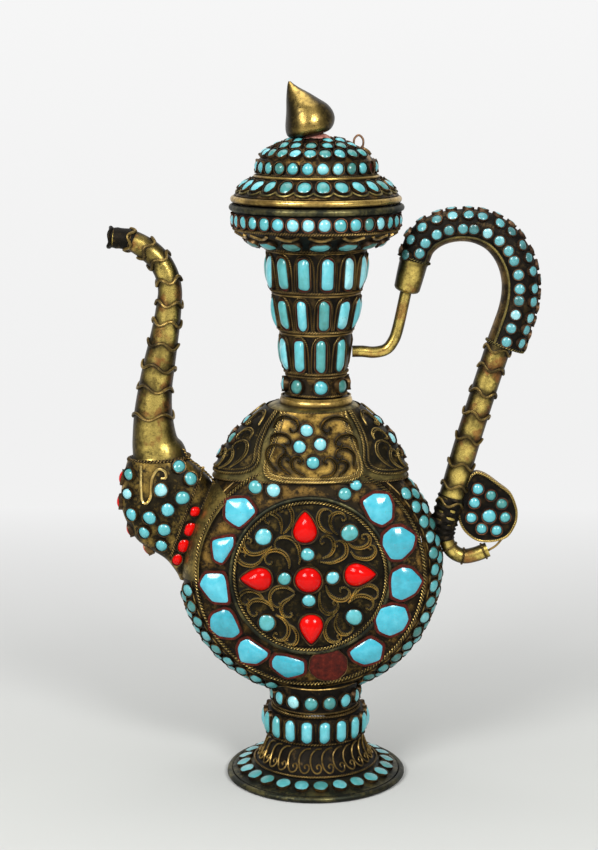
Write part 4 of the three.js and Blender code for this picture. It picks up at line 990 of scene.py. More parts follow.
def lay_scrolls(scrolls, surface, height, apart):
    """Wire scrolls on a surface, each a twisted wire with a plain one beside it."""
    wires = Shape()
    for points in scrolls:
        scroll = curve(points, steps=6)
        wires.rope(laid(surface, scroll), filigree["radius"], filigree["bead"], sides=6, depth=0.14,
                   flat=height)
        wires.tube(laid(surface, doubled(scroll, apart)), filigree["second"], sides=6, flat=height)
    return wires


def drop_rim():
    """The rim of a drop-shaped coral, its narrow end up."""
    half = [(0, -0.5), (0.3, -0.44), (0.47, -0.28), (0.5, -0.08), (0.38, 0.16), (0.19, 0.38), (0.05, 0.485)]
    shares = curve(half + [(0, 0.5)] + [(-x, y) for x, y in half[:0:-1]], steps=3, closed=True)
    return shares * [10, 13.4]


covers = [BVHTree.FromObject(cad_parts[name], bpy.context.evaluated_depsgraph_get())
          for name in ("shoulder_cap", "spout_bulb", "foot_round_tier", "handle_tube", "handle_tail")]


def is_covered(place, outward, clearance=3.2):
    """True where another part of the ewer stands over a place or right beside it."""
    point = (place + outward * 1.2) * MM
    for tree in covers[:3]:
        if tree.ray_cast(point, outward, 40 * MM)[0] is not None:
            return True
    return any(tree.find_nearest(point, clearance * MM)[0] is not None for tree in covers)


strap = {"start": math.radians(136), "end": math.radians(184), "spread": 0.92, "lift": 0.5}
edge_rows = {"beside": 2, "apart": 0.275, "stones": 46, "start": 0.15}


def make_edge():
    """The rounded edge band with its rows of small stones, and a fine wire on either side."""
    leans = np.linspace(-edge["spread"], edge["spread"], 22)
    rings = [[on_edge(turn, lean)[0] for lean in leans] for turn in full_turn(220)]
    Shape().skin(rings, around=False, looped=True).piece(
        "edge_sheet", case_brass, "dark_brass", "body_edge_band")
    seats = Setting()
    for row in range(-edge_rows["beside"], edge_rows["beside"] + 1):
        for i in range(edge_rows["stones"]):
            turn = 2 * math.pi * (i + 0.5 * (row % 2) + edge_rows["start"]) / edge_rows["stones"]
            place, outward = on_edge(turn, row * edge_rows["apart"])
            if not is_covered(place, outward) and not strap["start"] < turn < strap["end"]:
                along = np.array([-math.sin(turn), 0, math.cos(turn)])
                tipped = unit(outward + np.array([0, 0.22 * row, 0]))
                seats.stone(place, tipped, along, 5.6, height=2.2, rise=1.7, margin=0.3,
                            lost=chance.random() < 0.02, uneven=0.08)
    # The edge's stones take the duller, darker turquoise as painted shade on the case's rounded side
    seats.pieces("edge", stones=dull_and_shaded_turquoise)
    make_strap()
    lean = 0.67
    radius, depth = edge["centre"] + edge["radius"] * math.cos(lean), edge["radius"] * math.sin(lean)
    for side, name in ((-1, "front"), (1, "back")):
        Shape().tube(on_circle(radius, depth, side), 0.45, sides=6, closed=True).piece(
            f"{name}_edge_wire", old_wire, "old_brass")


def make_strap():
    """A smooth strap over the left of the edge, where the stones leave off."""
    rings = []
    for turn in np.linspace(strap["start"], strap["end"], 40):
        spots = [on_edge(turn, lean) for lean in np.linspace(-strap["spread"], strap["spread"], 24)]
        rings.append([place + outward * strap["lift"] for place, outward in spots])
    Shape().skin(rings, around=False).piece("edge_strap", strap_brass, "old_brass")


def face_skin(side, radii, levels, count):
    """A round sheet on a face, from the depths at its radii."""
    circles = [on_circle(radius, level, side, count) for radius, level in zip(radii, levels)]
    return Shape().skin([circle[:, :3] for circle in circles])


def make_face(side, name):
    """One round face: its sheet, its ropes, its plates and its medallion."""
    radii = [0, 8, 16, 24, 31, 31.8, 33.2, 36, 39, 42, 45, 48, 50]
    levels = [face_depth(r) - (0.9 if r < face["medallion_radius"] + 0.1 else 0) for r in radii]
    face_skin(side, radii, levels, 180).piece(f"{name}_face_sheet", case_brass, "dark_brass", f"{name}_dome")

    inside_shoulder = math.radians(24)
    line = on_circle(49.4, high("back_outer_rope", 1) - 0.9, side, 260,
                     math.pi / 2 + inside_shoulder, 2.5 * math.pi - inside_shoulder)
    Shape().rope(line, 0.85, bead=1.5, depth=0.3).piece(
        f"{name}_outer_rope", rope_brass, "old_brass", f"{name}_outer_rope")
    Shape().rope(on_circle(32.7, 20.0, side), 0.74, bead=1.4, closed=True, depth=0.3).piece(
        f"{name}_inner_rope", rope_brass, "old_brass", f"{name}_inner_rope")
    Shape().tube(on_circle(34.3, 18.9, side), 1.0, sides=12, closed=True).piece(
        f"{name}_inner_band", flange_brass, "old_brass")
    make_plates(side, name)
    make_medallion(side, name)


def smooth_rim(corners, cuts=(0.13, 0.25)):
    """A polygon with its corners cut back, once for each share of its sides."""
    rim = np.asarray(corners, float)
    if np.sum(rim[:, 0] * np.roll(rim[:, 1], -1) - rim[:, 1] * np.roll(rim[:, 0], -1)) < 0:
        rim = rim[::-1]
    for cut in cuts:
        following = np.roll(rim, -1, 0)
        pairs = [rim * (1 - cut) + following * cut, rim * cut + following * (1 - cut)]
        rim = np.stack(pairs, 1).reshape(-1, 2)
    return rim


def make_plates(side, name):
    """The ring of large turquoise plates, each in mastic inside a strip of brass."""
    seats = Setting(wall=0.3)
    seats.dome_shares = dome_profile(ball=1.35, wall=0.42)
    loose = Setting()
    turned_over = -1 if side > 0 else 1
    for i, ((across, rise), corners) in enumerate(plates):
        place, outward = on_face(across, rise, side)
        corners = np.asarray(corners, float) * [turned_over, 1] * plate_look["size"]
        rim = smooth_rim(corners)
        wall = spread(smooth_rim(corners, (0.2,)), plate_look["mastic"])
        seats.collar(wall, plate_look["rise"], place, outward, UP)
        level = plate_look["level"]
        lost = i == lost_plate and side < 0
        border = lifted(spread(rim, plate_look["mastic"]), level)
        ridge = lifted(spread(rim, 0.35), level + (0.1 if lost else 0.75))
        n = len(rim)
        bed = np.concatenate([border, ridge, [[0, 0, level + 0.3]]])
        seats.mastic.bed(place, outward, UP, bed, bands(2, n), fan(n, n))
        if not lost:
            shade = min(max(chance.gauss(0.5, 0.22), 0), 1)
            seats.dome(rim, plate_look["height"], place, outward, UP, shade)
    for across, rise, width in loose_stones:
        spot, out = on_face(across, rise, side)
        if not is_covered(spot, out, 0.3):
            loose.stone(spot, out, UP, width, height=2.2, rise=1.7, margin=0.5)
    seats.pieces(f"{name}_plate", stones=plate_turquoise)
    loose.pieces(f"{name}_face")


def make_medallion(side, name):
    """Wire scrolls, small turquoise and five corals on a plate inside the inner rope."""
    radii = [0, 6, 12, 18, 24, 30, 31.5, 31.5]
    levels = [face_depth(r) for r in radii]
    levels[-1] -= 0.8
    plate = face_skin(side, radii, levels, 120)
    plate.piece(f"{name}_medallion_plate", plate_brass, "dark_brass", f"{name}_medallion")

    turned_over = -1 if side > 0 else 1

    def on_plate(across, rise):
        place, outward = on_face(across * turned_over, rise, side)
        return place + outward * filigree["lift"], outward
    scrolls = lay_scrolls(medallion_scrolls, on_plate, filigree["height"], apart=1.25)
    scrolls.piece(f"{name}_medallion_wires", scroll_brass, "old_brass")

    seats = Setting()
    for (across, rise), width in medallion_stones:
        place, outward = on_plate(across, rise)
        seats.stone(place, outward, UP, width + 0.3, height=2.2, rise=1.7, margin=0.4, uneven=0.08)
    seats.pieces(f"{name}_medallion")

    strips = Setting(wall=0.4)
    for where, ((across, rise), degrees) in corals.items():
        place, outward = on_plate(across, rise)
        rim = outline(11.2, 11.2, square=2, sides=32, uneven=0.02) if where == "centre" else drop_rim()
        lean = math.radians(degrees)
        up = np.array([math.cos(lean) * turned_over, 0, math.sin(lean)])
        stone = Setting()
        stone.dome_shares = dome_profile(ball=1.12, wall=0.2)
        stone.dome(rim, coral_look["height"], place, outward, up, chance.uniform(0.3, 0.7))
        stone.stones.piece(f"{name}_{where}_coral", coral, "red_coral", f"{name}_coral_{where}")
        wall = spread(rim, coral_look["margin"])
        strips.collar(wall, coral_look["rise"], place, outward, up)
        strips.fill(lifted(wall, coral_look["mastic"]), coral_look["mastic"], place, outward, up)
    strips.pieces(f"{name}_coral")


# Shoulder cap and its four panels
shoulder = {"bottom": low("shoulder_cap"), "top": high("shoulder_cap"), "half_width": 42.4,
            "half_depth": 18.2, "top_radius": 19.4}
shoulder_curve = curve([(0, 1), (0.26, 0.86), (0.5, 0.68), (0.68, 0.48), (0.86, 0.22), (1, 0)], steps=10)


def shoulder_level(z):
    """Middle, half width, half depth and squareness of the shoulder at a height."""
    height = shoulder["top"] - shoulder["bottom"]
    rise = min(max((z - shoulder["bottom"]) / height, 0), 1)
    wide = np.interp(rise, shoulder_curve[:, 0], shoulder_curve[:, 1])
    half_width = shoulder["top_radius"] + (shoulder["half_width"] - shoulder["top_radius"]) * wide
    half_depth = shoulder["half_depth"] + (shoulder["top_radius"] - shoulder["half_depth"]) * rise
    return body_x * (1 - rise / 2), half_width, half_depth, 2.6 - 0.6 * rise


def squared_ring(z, middle, half_width, half_depth, square, count):
    """A level ring, squarer than an oval with a higher `square`."""
    along, across = np.cos(full_turn(count)), np.sin(full_turn(count))
    x = middle + np.sign(along) * np.abs(along) ** (2 / square) * half_width
    y = np.sign(across) * np.abs(across) ** (2 / square) * half_depth
    return np.stack([x, y, np.full_like(x, z)], 1)


def on_shoulder_face(x, z, side=-1):
    middle, half_width, half_depth, square = shoulder_level(z)
    share = min(abs(x - middle) / half_width, 0.999)
    return np.array([x, side * half_depth * (1 - share ** square) ** (1 / square), z])


def on_shoulder_flank(along, z, side=1):
    """A place on the left or right of the shoulder: `along` runs round its corner, about in millimetres."""
    middle, half_width, half_depth, square = shoulder_level(z)
    turn = along * 0.04
    out, deep = abs(math.cos(turn)) ** (2 / square), abs(math.sin(turn)) ** (2 / square)
    return np.array([middle + side * half_width * out, math.copysign(half_depth * deep, turn), z])


def outward_of(place_of, middle):
    """A surface from a function of places, with its outward direction, which leads away from a middle."""
    def surface(u, v):
        here, outward = felt(place_of)(u, v)
        if np.dot(outward, here - middle) < 0:
            outward = -outward
        return here, outward
    return surface


shoulder_middle = np.array([body_x, 0, 138.0])
arch_shares = [(-1, 0), (-1, 0.55), (-0.99, 0.78), (-0.88, 0.92), (-0.6, 0.99), (0, 1.01), (0.6, 0.99),
               (0.88, 0.92), (0.99, 0.78), (1, 0.55), (1, 0)]
front_panel = {"top_half": 12.8, "bottom_half": 23.0, "height": 29.4, "relief": 1, "sunk": 0,
               "sheet": gilt_sheet, "wire": wire_brass}
# The side panels' darker sheet and duller wires are painted shade on the shoulder's flanks
side_panel = {"top_half": 18.8, "bottom_half": 27.6, "height": 27.4, "relief": 0.5, "sunk": 1.2,
              "sheet": plate_brass, "wire": rope_brass}
panel_middle = (-1.2, 153.2)
panel_view = traced(-19.8, panel_middle)
panel_scrolls = [panel_view(points) for points in (
    [(274, 430), (278.6, 423.4), (286.6, 419.4), (295, 421), (298.4, 426), (296.6, 431),
     (292.2, 432.6), (290.2, 429)],
    [(271.4, 443), (274, 438), (281, 435.8), (288, 437.6), (290.8, 442), (288.6, 445.4),
     (284.6, 444.2)],
    [(277.4, 472.2), (270.2, 463.4), (268.2, 455), (271.8, 447.8), (278.6, 445.8), (284.6, 448.6),
     (285.8, 453), (282.6, 455)],
    [(291, 475), (283.2, 469), (280.2, 463), (283, 457.2), (287.8, 456), (290.8, 459),
     (289.2, 462.4), (286, 460.6)],
    [(305, 476.2), (296, 471.4), (292.6, 465), (294.2, 459.2), (299, 457.4), (302.4, 460.6),
     (300.2, 463.8), (297.4, 461.8)],
    [(351.4, 431.4), (345, 423), (335.4, 419), (327.2, 420.6), (322.6, 425.4), (322.8, 430.6),
     (326.8, 433), (330.6, 430.6), (329.4, 427.4)],
    [(357.4, 451), (355, 442.6), (349, 437.4), (341, 437.4), (336.2, 441), (335.6, 445.2),
     (339.6, 446.8), (342.2, 443.8)],
    [(353.4, 465.8), (353.2, 457), (349.2, 452), (343, 449.4), (337.2, 451.4), (335.4, 456.2),
     (339, 458.8), (342.6, 456.2)],
    [(339, 476.2), (345, 469.8), (345.8, 464.2), (340.6, 461.4), (337, 464.2), (339, 467)],
    [(321, 477.4), (331, 475), (335, 469), (334, 462.6), (328.6, 457.8), (324, 460),
     (324.2, 463.6), (327.8, 464.2)],
)]
panel_stones = panel_view([(307.0, 429.4), (300.0, 446.0), (320.0, 443.4), (313.0, 462.0)])


def make_shoulder():
    """The shoulder's sheet and its ropes, then its four panels."""
    heights = np.linspace(shoulder["bottom"], shoulder["top"], 34)
    rings = [squared_ring(z, *shoulder_level(z), 140) for z in heights]
    lip = rings[0] * [0.95, 0.9, 1]
    top_middle = np.array([body_x / 2, 0, 0])
    close = [(rings[-1] - top_middle) * [share, share, 1] + top_middle * (1 - drift) + [0, 0, rise]
             for share, rise, drift in ((0.97, 0.5, 0.1), (0.88, 1.0, 0.5), (0.76, 1.3, 1.0))]
    cap = Shape().skin([lip] + rings + close)
    cap.piece("shoulder_sheet", green_brass, "old_brass", "shoulder_cap")
    outward = unit((rings[0] - [body_x, 0, shoulder["bottom"]]) * [1, 3, 1])
    foot_line = np.hstack([rings[0] + UP * 0.3, outward])
    top_ring = ring_line(shoulder["top_radius"] + 0.1, shoulder["top"] - 0.6, centre=(body_x / 2, 0))
    Shape().rope(foot_line, 0.5, bead=1.2, closed=True).rope(top_ring, 0.7, bead=1.3, closed=True).piece(
        "shoulder_ropes", old_wire, "old_brass")
    for side, name in ((-1, "front"), (1, "back")):
        make_panel(name, on_shoulder_face, side, panel_middle[0], front_panel)
    for side, name in ((-1, "left"), (1, "right")):
        make_panel(name, on_shoulder_flank, side, 0.0, side_panel)


def make_panel(name, place_of, side, middle, size):
    """A filigree panel between rope borders, bent over one side of the shoulder."""
    surface = outward_of(lambda u, v: place_of(u, v, side), shoulder_middle)
    top_half, bottom_half, height = size["top_half"], size["bottom_half"], size["height"]
    top_z = shoulder["top"] - 0.4
    lift = 0.95

    def place_at(u, down, shrink=0.0):
        half = top_half + (bottom_half - top_half) * down - shrink
        z = top_z - height * down + shrink * max(down - 0.7, 0) / 0.3
        here, outward = surface(middle + u * half, z)
        return here + outward * lift, outward
    us = np.linspace(-1, 1, 41)
    arch = curve(arch_shares, steps=10)
    right_half = arch[arch[:, 0] >= 0]
    lowest = np.interp(np.abs(us), right_half[:, 0], right_half[:, 1])
    rows = []
    for share in np.linspace(0, 1, 25):
        rows.append([place_at(u, deep * share)[0] for u, deep in zip(us, lowest)])
    rows.append([place_at(u, deep)[0] - place_at(u, deep)[1] * lift for u, deep in zip(us, lowest)])
    Shape().skin(rows, around=False).piece(
        f"{name}_panel_plate", size["sheet"], "dark_brass", f"{name}_panel")

    def border(shrink):
        return np.array([np.concatenate(place_at(u, down, shrink)) for u, down in arch])
    Shape().rope(border(-0.1), 0.62, bead=1.25).rope(border(1.5), 0.5, bead=1.1).piece(
        f"{name}_panel_wires", size["wire"], "old_brass")

    def on_panel(across, rise):
        here, outward = surface(middle + across, panel_middle[1] + rise)
        return here + outward * (lift + filigree["lift"]), outward
    scrolls = lay_scrolls(panel_scrolls, on_panel, filigree["height"] * size["relief"], apart=0.9)
    scrolls.piece(f"{name}_panel_scrolls", rope_brass, "old_brass")
    seats = Setting()
    for across, rise in panel_stones:
        here, outward = on_panel(across, rise)
        seats.stone(here - outward * size["sunk"], outward, UP, 5.4, height=2.1, rise=1.7, margin=0.6)
    seats.pieces(f"{name}_panel", bezels=brown_bezel)


# Neck: bands of tall stones under wire arches
neck_tiers = {
    "lower": {"radii": (13.2, 15.4), "stones": 10, "width": 4.6},
    "middle": {"radii": (15.6, 18.8), "stones": 12, "width": 4.8},
    "upper": {"radii": (19.0, 21.2), "stones": 13, "width": 5.0},
}
tier_arch = [(-1, 0.5), (-0.92, 0.74), (-0.55, 0.9), (0, 0.95), (0.55, 0.9), (0.92, 0.74), (1, 0.5)]
tube_radius = 11.4


def make_neck():
    refinish("neck_tube", dark_brass)
    bottom, top = low("neck_ring"), high("neck_ring")
    moulding = [(tube_radius, bottom), (14.6, bottom), (15.5, bottom + 0.7), (15.8, bottom + 2.0),
                (15.4, bottom + 3.2), (15.0, bottom + 3.6), (15.2, top), (14.6, top + 0.1),
                (14.4, bottom + 3.7), (tube_radius, bottom + 3.7)]
    Shape().turned(moulding, facets=140, closed=True, wobble=0.06).piece(
        "neck_ring_band", bright_brass, "old_brass", "neck_ring")
    make_stud_tier()
    for i, (name, size) in enumerate(neck_tiers.items()):
        make_tier(name, size, 0.21 + 0.13 * i)


def make_stud_tier():
    """The drum at the foot of the neck, with a few large round stones between two ropes."""
    bottom, top = low("neck_stud_tier"), high("neck_stud_tier")
    drum = [(12.9, bottom), (12.3, top)]
    Shape().turned([(tube_radius, bottom)] + drum + [(tube_radius, top)], facets=120).piece(
        "neck_stud_sheet", case_brass, "old_brass", "neck_stud_tier")
    seats = Setting()
    stone_row(seats, drum, halfway("neck_stud_tier"), count=8, start=8, width=6.0, height=2.6, rise=2.1,
              margin=0.5)
    seats.pieces("neck_stud")
    wires = Shape().ring(13.1, bottom + 0.7, 0.6, bead=1.1)
    wires.ring(12.9, top - 0.5, 0.6, bead=1.1).piece("neck_stud_ropes", old_wire, "old_brass")


def make_tier(name, size, start):
    """A flared band of tall stones, each under an arch of twisted wire."""
    node = f"neck_{name}_tier"
    bottom, top = low(node), high(node)
    (first, last), count = size["radii"], size["stones"]
    wall = [(first, bottom), (last, top)]
    hidden = [(last - 2, top), (max(first - 2, tube_radius), bottom + 2), (tube_radius, bottom + 2)]
    Shape().turned([(tube_radius, bottom)] + wall + hidden, facets=140, closed=True).piece(
        f"neck_{name}_sheet", black_brass, "dark_brass", node)
    wires, seats = Shape(), Setting(bezel_sides=18)
    wires.ring(first + 0.35, bottom + 0.7, 0.65, bead=1.15)
    wires.tube(ring_line(last + 0.1, top - 0.35), 0.4, sides=6, closed=True)
    tall = top - bottom
    radius = (first + last) / 2
    pitch = 2 * math.pi * radius / count
    half = pitch / 2 - 0.75
    for i in range(count):
        turn = -math.pi / 2 + 2 * math.pi * (i + start) / count
        if size is neck_tiers["lower"] and math.cos(turn) > 0.93:
            continue
        arch = [(-half, 1.6), *[(half * across, tall * rise) for across, rise in tier_arch], (half, 1.6)]
        wires.rope(laid(wrapped(wall, turn, bottom), curve(arch, steps=5)), 0.38, bead=0.9, sides=6, flat=1.5)
        place, outward, up = on_turned(wall, turn, bottom + tall * 0.49)
        gone = name == "lower" and abs(turn + math.pi / 2 + 0.42) < 0.3
        width = size["width"] * chance.uniform(0.86, 1.08)
        seats.stone(place, outward, up, width - 0.2, tall * 0.76, height=2.5, square=0, rise=1.1, margin=0.85,
                    lost=gone, sides=20, pale=-0.1)
    wires.piece(f"neck_{name}_wires", old_wire, "old_brass")
    seats.pieces(f"neck_{name}")


# Cup and lid
bowl = [(21.2, low("cup_bowl")), (27.0, low("cup_bowl") + 2.9), (32.4, low("cup_bowl") + 6.2),
        (34.9, high("cup_bowl") - 0.9), (35.0, high("cup_bowl"))]


def make_roll(node, radius, finish, body):
    """A rolled rim, a little out of round."""
    Shape().tube(ring_line(radius, halfway(node), wobble=0.1), 1.5, sides=12, closed=True).piece(
        f"{node}_roll", finish, "old_brass", node, body=body)


def make_cup():
    make_bowl()
    make_cup_band()
    make_roll("cup_rim", 35.9, flange_brass, "ewer")


def make_bowl():
    """The cup's bowl, with wide stones under short brows of wire."""
    # Painted shade under the cup: a blackened sheet and the duller, darker turquoise with a lower pale
    inside = [(tube_radius, bowl[0][1] + 1), (tube_radius, bowl[0][1])]
    Shape().turned(inside + bowl + [(32.8, bowl[-1][1])], facets=160).piece(
        "cup_bowl_sheet", black_brass, "old_brass", "cup_bowl")
    seats, trim = Setting(bezel_sides=18), Shape()
    stone_row(seats, bowl, bowl[0][1] + 3.6, count=15, start=3, width=8.4, length=5.6, sunk=0.1,
              height=2.4, square=2.2, rise=1.6, margin=0.5, sides=18, pale=-0.2)
    peak = curve([(-4.6, 7.4), (-2.2, 6.3), (0, 5.9), (2.2, 6.3), (4.6, 7.4)], steps=4)
    for angle in spaced(15, start=3):
        trim.tube(laid(wrapped(bowl, angle, bowl[0][1], lift=0.25, radius=32), peak), 0.75, sides=8)
    trim.ring(35.2, high("cup_bowl") - 0.1, 0.7, bead=1.2)
    trim.ring(21.9, low("cup_bowl") + 0.4, 0.8, bead=1.3)
    trim.piece("cup_wires", old_wire, "old_brass")
    seats.pieces("cup_bowl", stones=dull_and_shaded_turquoise)


def make_cup_band():
    """The upright band of the cup with its close row of stones."""
    bottom, top = low("cup_band"), high("cup_band")
    Shape().turned([(35, bottom), (35, top), (33.9, top), (33.9, bottom)], facets=180, closed=True).piece(
        "cup_band_sheet", black_brass, "dark_brass", "cup_band")
    seats = Setting()
    stone_row(seats, [(34.9, bottom), (34.9, top)], halfway("cup_band"), count=34, start=180 / 34,
              width=4.9, length=5.1, lost=21, height=1.9, square=2.2, rise=1.5, margin=0.5)
    seats.pieces("cup_band", bezels=copper_bezel)


lid_slope = [(35.0, low("lid_skirt")), (34.2, low("lid_skirt") + 0.9), (26.2, high("lid_skirt"))]
crown = curve([(24.2, 7.3), (20.84, 10.26), (15.8, 12.92), (11.1, 14.55), (7.4, 15.1), (3.6, 15.35),
               (0.02, 15.4)], steps=6)
dome = np.vstack([[(26.2, 0), (26.2, 0.7), (24.8, 1.1)], crown]) + [0, low("lid_dome")]
eyelet_room = 0.3


def on_dome(radius, angle):
    """A place on the lid's dome at a distance from its axis."""
    radii, heights = dome[::-1].T
    z = np.interp(radius, radii, heights)
    slope = (np.interp(radius + 0.4, radii, heights) - np.interp(radius - 0.4, radii, heights)) / 0.8
    around = bearing(angle)
    return around * radius + UP * z, unit(UP - around * slope), unit(UP * slope + around)


def make_lid():
    refinish("lid_sleeve", dark_brass)
    make_roll("lid_rim", 35.0, bright_brass, "lid")
    make_lid_skirt()
    make_lid_dome()
    make_finial()


def make_lid_skirt():
    """The lid's slope, with a row of stones inside a scalloped wire."""
    hidden = [(24, lid_slope[-1][1]), (31.3, lid_slope[0][1] + 1)]
    Shape().turned([(31.5, lid_slope[0][1])] + lid_slope + hidden, facets=160, closed=True).piece(
        "lid_skirt_sheet", case_brass, "dark_brass", "lid_skirt", body="lid")
    seats, trim = Setting(bezel_sides=16), Shape()
    count, lip_radius = 25, 33.5
    stone_row(seats, lid_slope[1:], lid_slope[0][1] + 3.9, count, start=5, width=5.4, length=6.4, height=2.0,
              square=2.2, rise=1.5, margin=0.6, sides=16)
    half = math.pi * lip_radius / count
    scallop = curve([(-half, 2.3), (-half * 0.6, 1.3), (0, 1.0), (half * 0.6, 1.3), (half, 2.3)], steps=4)
    for angle in spaced(count, start=5):
        on_lip = wrapped(lid_slope[1:], angle, lid_slope[0][1], lift=0.3, radius=lip_radius)
        trim.tube(laid(on_lip, scallop), 0.5, sides=6)
    trim.piece("lid_skirt_scallops", green_brass, "old_brass", body="lid")
    seats.pieces("lid_skirt", body="lid")


def make_lid_dome():
    """The lid's dome, with rings of stones up to a patch of mastic at the top."""
    Shape().turned(np.vstack([[(24.6, dome[0][1])], dome]), facets=160, caps=(False, True)).piece(
        "lid_dome_sheet", case_brass, "old_brass", "lid_dome", body="lid")
    trim = Shape().tube(ring_line(26.1, dome[0][1] + 0.3, wobble=0.08), 0.75, sides=10, closed=True)
    trim.ring(25.0, dome[0][1] + 1.3, 0.5, bead=1.0)
    trim.piece("lid_dome_wires", bright_brass, "old_brass", body="lid")
    seats = Setting()
    wall = [(24.8, dome[2][1]), (24.2, dome[0][1] + 7.3)]
    stone_row(seats, wall, dome[0][1] + 4.4, count=25, start=6, width=4.8, length=4.9, sunk=0.2, lost=4,
              height=2.2, rise=1.7, margin=0.45, pale=0.05)
    for radius, count, width in ((21.5, 22, 4.9), (16.5, 16, 4.7), (11.4, 11, 4.6)):
        for i, angle in enumerate(spaced(count, start=radius * 5)):
            place, outward, up = on_dome(radius, angle)
            if abs(math.atan2(place[1], place[0])) > eyelet_room:
                seats.stone(place - outward * 0.1, outward, up, width, height=2.1, rise=1.6, margin=0.45,
                            lost=i == 9, pale=-0.08)
    seats.pieces("lid_dome", body="lid")
    cap = Shape()
    radii = np.array([8.0, 6.6, 4.8, 2.6, 0.4])
    levels = on_dome(8.0, 0)[0][2] + np.array([-0.2, 0.6, 0.9, 1.0, 1.0])
    cap.turned(np.stack([radii, levels], 1), facets=60, caps=(False, True), wobble=0.2)
    cap.piece("lid_top_mastic", red_mastic, "red_mastic", body="lid")


# The bud's outline in the photograph, from its foot to its tip: left edge, right edge and height in pixels
bud_edges = [(297, 312, 139.2), (290, 322, 138), (287, 329.5, 135), (285.4, 333, 130),
             (285, 334.2, 124.5), (285.2, 334, 119.5), (285.7, 331.8, 113), (286, 326.8, 106),
             (286.2, 318.6, 100), (286.6, 310, 94), (287.1, 300, 88.2), (287.6, 293.8, 84),
             (288.4, 290.6, 81.2)]
bud_place = {"forward": -2.5, "tilt": 0.13, "lift": 1.2}


def make_finial():
    """A leaning bud on a blob of wax, and a copper eyelet beside it."""
    foot_x, top = -2.7, high("lid_dome")
    angles = full_turn(64)
    rings = []
    for left, right, height in curve(bud_edges, steps=4):
        (left_x, z), (right_x, _) = seen_at(left, height, 0), seen_at(right, height, 0)
        rise = (bud_edges[0][2] - height) / (bud_edges[0][2] - bud_edges[-1][2])
        radius = (right_x - left_x) / 2 * (1 + 0.02 * np.sin(3 * angles + z * 0.2))
        across = radius * np.cos(angles)
        rings.append(np.stack([
            (left_x + right_x) / 2 + across, bud_place["forward"] * (1 - rise) + radius * np.sin(angles),
            z + bud_place["lift"] * (1 - rise) + across * bud_place["tilt"] * (1 - rise)], 1))
    # The bud's shade numbers paint a sheen in front and behind and shade along its sides
    bud = Shape().skin(rings, caps=(True, True), shade=sheen_and_side_shade(64, start=0, least=0.06, most=0.5))
    stem = [(foot_x - 1.8, 0, rings[2][0][2] + 2), (foot_x - 0.6, 0, top + 2.5), (foot_x, 0, top + 0.3)]
    bud.tube(facing(curve(stem, steps=4), FRONT), 1.6, sides=12)
    bud.piece("finial_bud", finial_brass, "old_brass", "finial", body="lid")
    blob = Shape()
    levels = [(7.2, 0.1), (6.7, 0.9), (5.4, 1.6), (3.8, 2.1), (2.0, 2.8)]
    blob.turned([(r, top + z) for r, z in levels], facets=48, caps=(True, True), wobble=0.25)
    blob.points[0] += [foot_x + 1.2, 0, 0]
    blob.piece("finial_wax", pink_wax, "pink_wax", "finial_washer", body="lid")
    loop_x, loop_z = 17.8, on_dome(17.8, 0)[0][2]
    loop = curve([(-1.6, -0.6), (-2, 1.8), (-1.7, 4), (0, 5.4), (1.7, 4), (2, 1.8), (1.2, -1.4)], steps=5)
    Shape().tube(upright(loop + [loop_x, loop_z]), 0.5, sides=8).piece(
        "lid_eyelet_wire", copper_wire, "copper_wire", "lid_eyelet", body="lid")


# Spout
spout_line = curve([(-68.4, 143.4, 13.1, 10.3), (-68.6, 145.8, 11.9, 9.8), (-70.1, 151.6, 9.9, 9.1),
                    (-70.6, 163, 8.4, 8.4), (-69.5, 174.9, 7.3, 7.3), (-67.9, 184.1, 6.9, 6.9),
                    (-66, 193.7, 6.3, 6.3), (-64.2, 203.3, 5.8, 5.8), (-63.1, 211.6, 5.4, 5.4),
                    (-62.7, 217.1, 5.2, 5.2), (-63.9, 223.6, 5.1, 5.1), (-67.3, 230, 5, 5),
                    (-72.3, 234.7, 4.9, 4.9), (-79.5, 238.6, 4.5, 4.5), (-88, 239.8, 4.3, 4.3)], steps=6)
spout_rings = [(-79.7, 238.6), (-72.1, 234.9), (-67.1, 229.9), (-63.1, 221.2), (-63.3, 211.6),
               (-64.2, 203.1), (-65.9, 193.8), (-67.7, 184.3), (-69.5, 174.9), (-70.5, 162.8)]
spout_tip = 7


def spout_hoop(i, grow=0.0, count=32, ripple=0.0, phase=0.0):
    """A ring round the spout at one of its points, so much wider than the pipe itself."""
    width, depth = spout_line[i][2:] + grow
    return hoop(spout_line, i, width, depth, count, ripple, phase)


def wire_shade(places, spots, reach, most):
    """How much darker a pipe is painted near the wires that go round it at some of its places: painted shade
    beside them.
    """
    away = np.abs(places[None, :] - places[spots][:, None]).min(0)
    return most * np.exp(-(away / reach) ** 2)


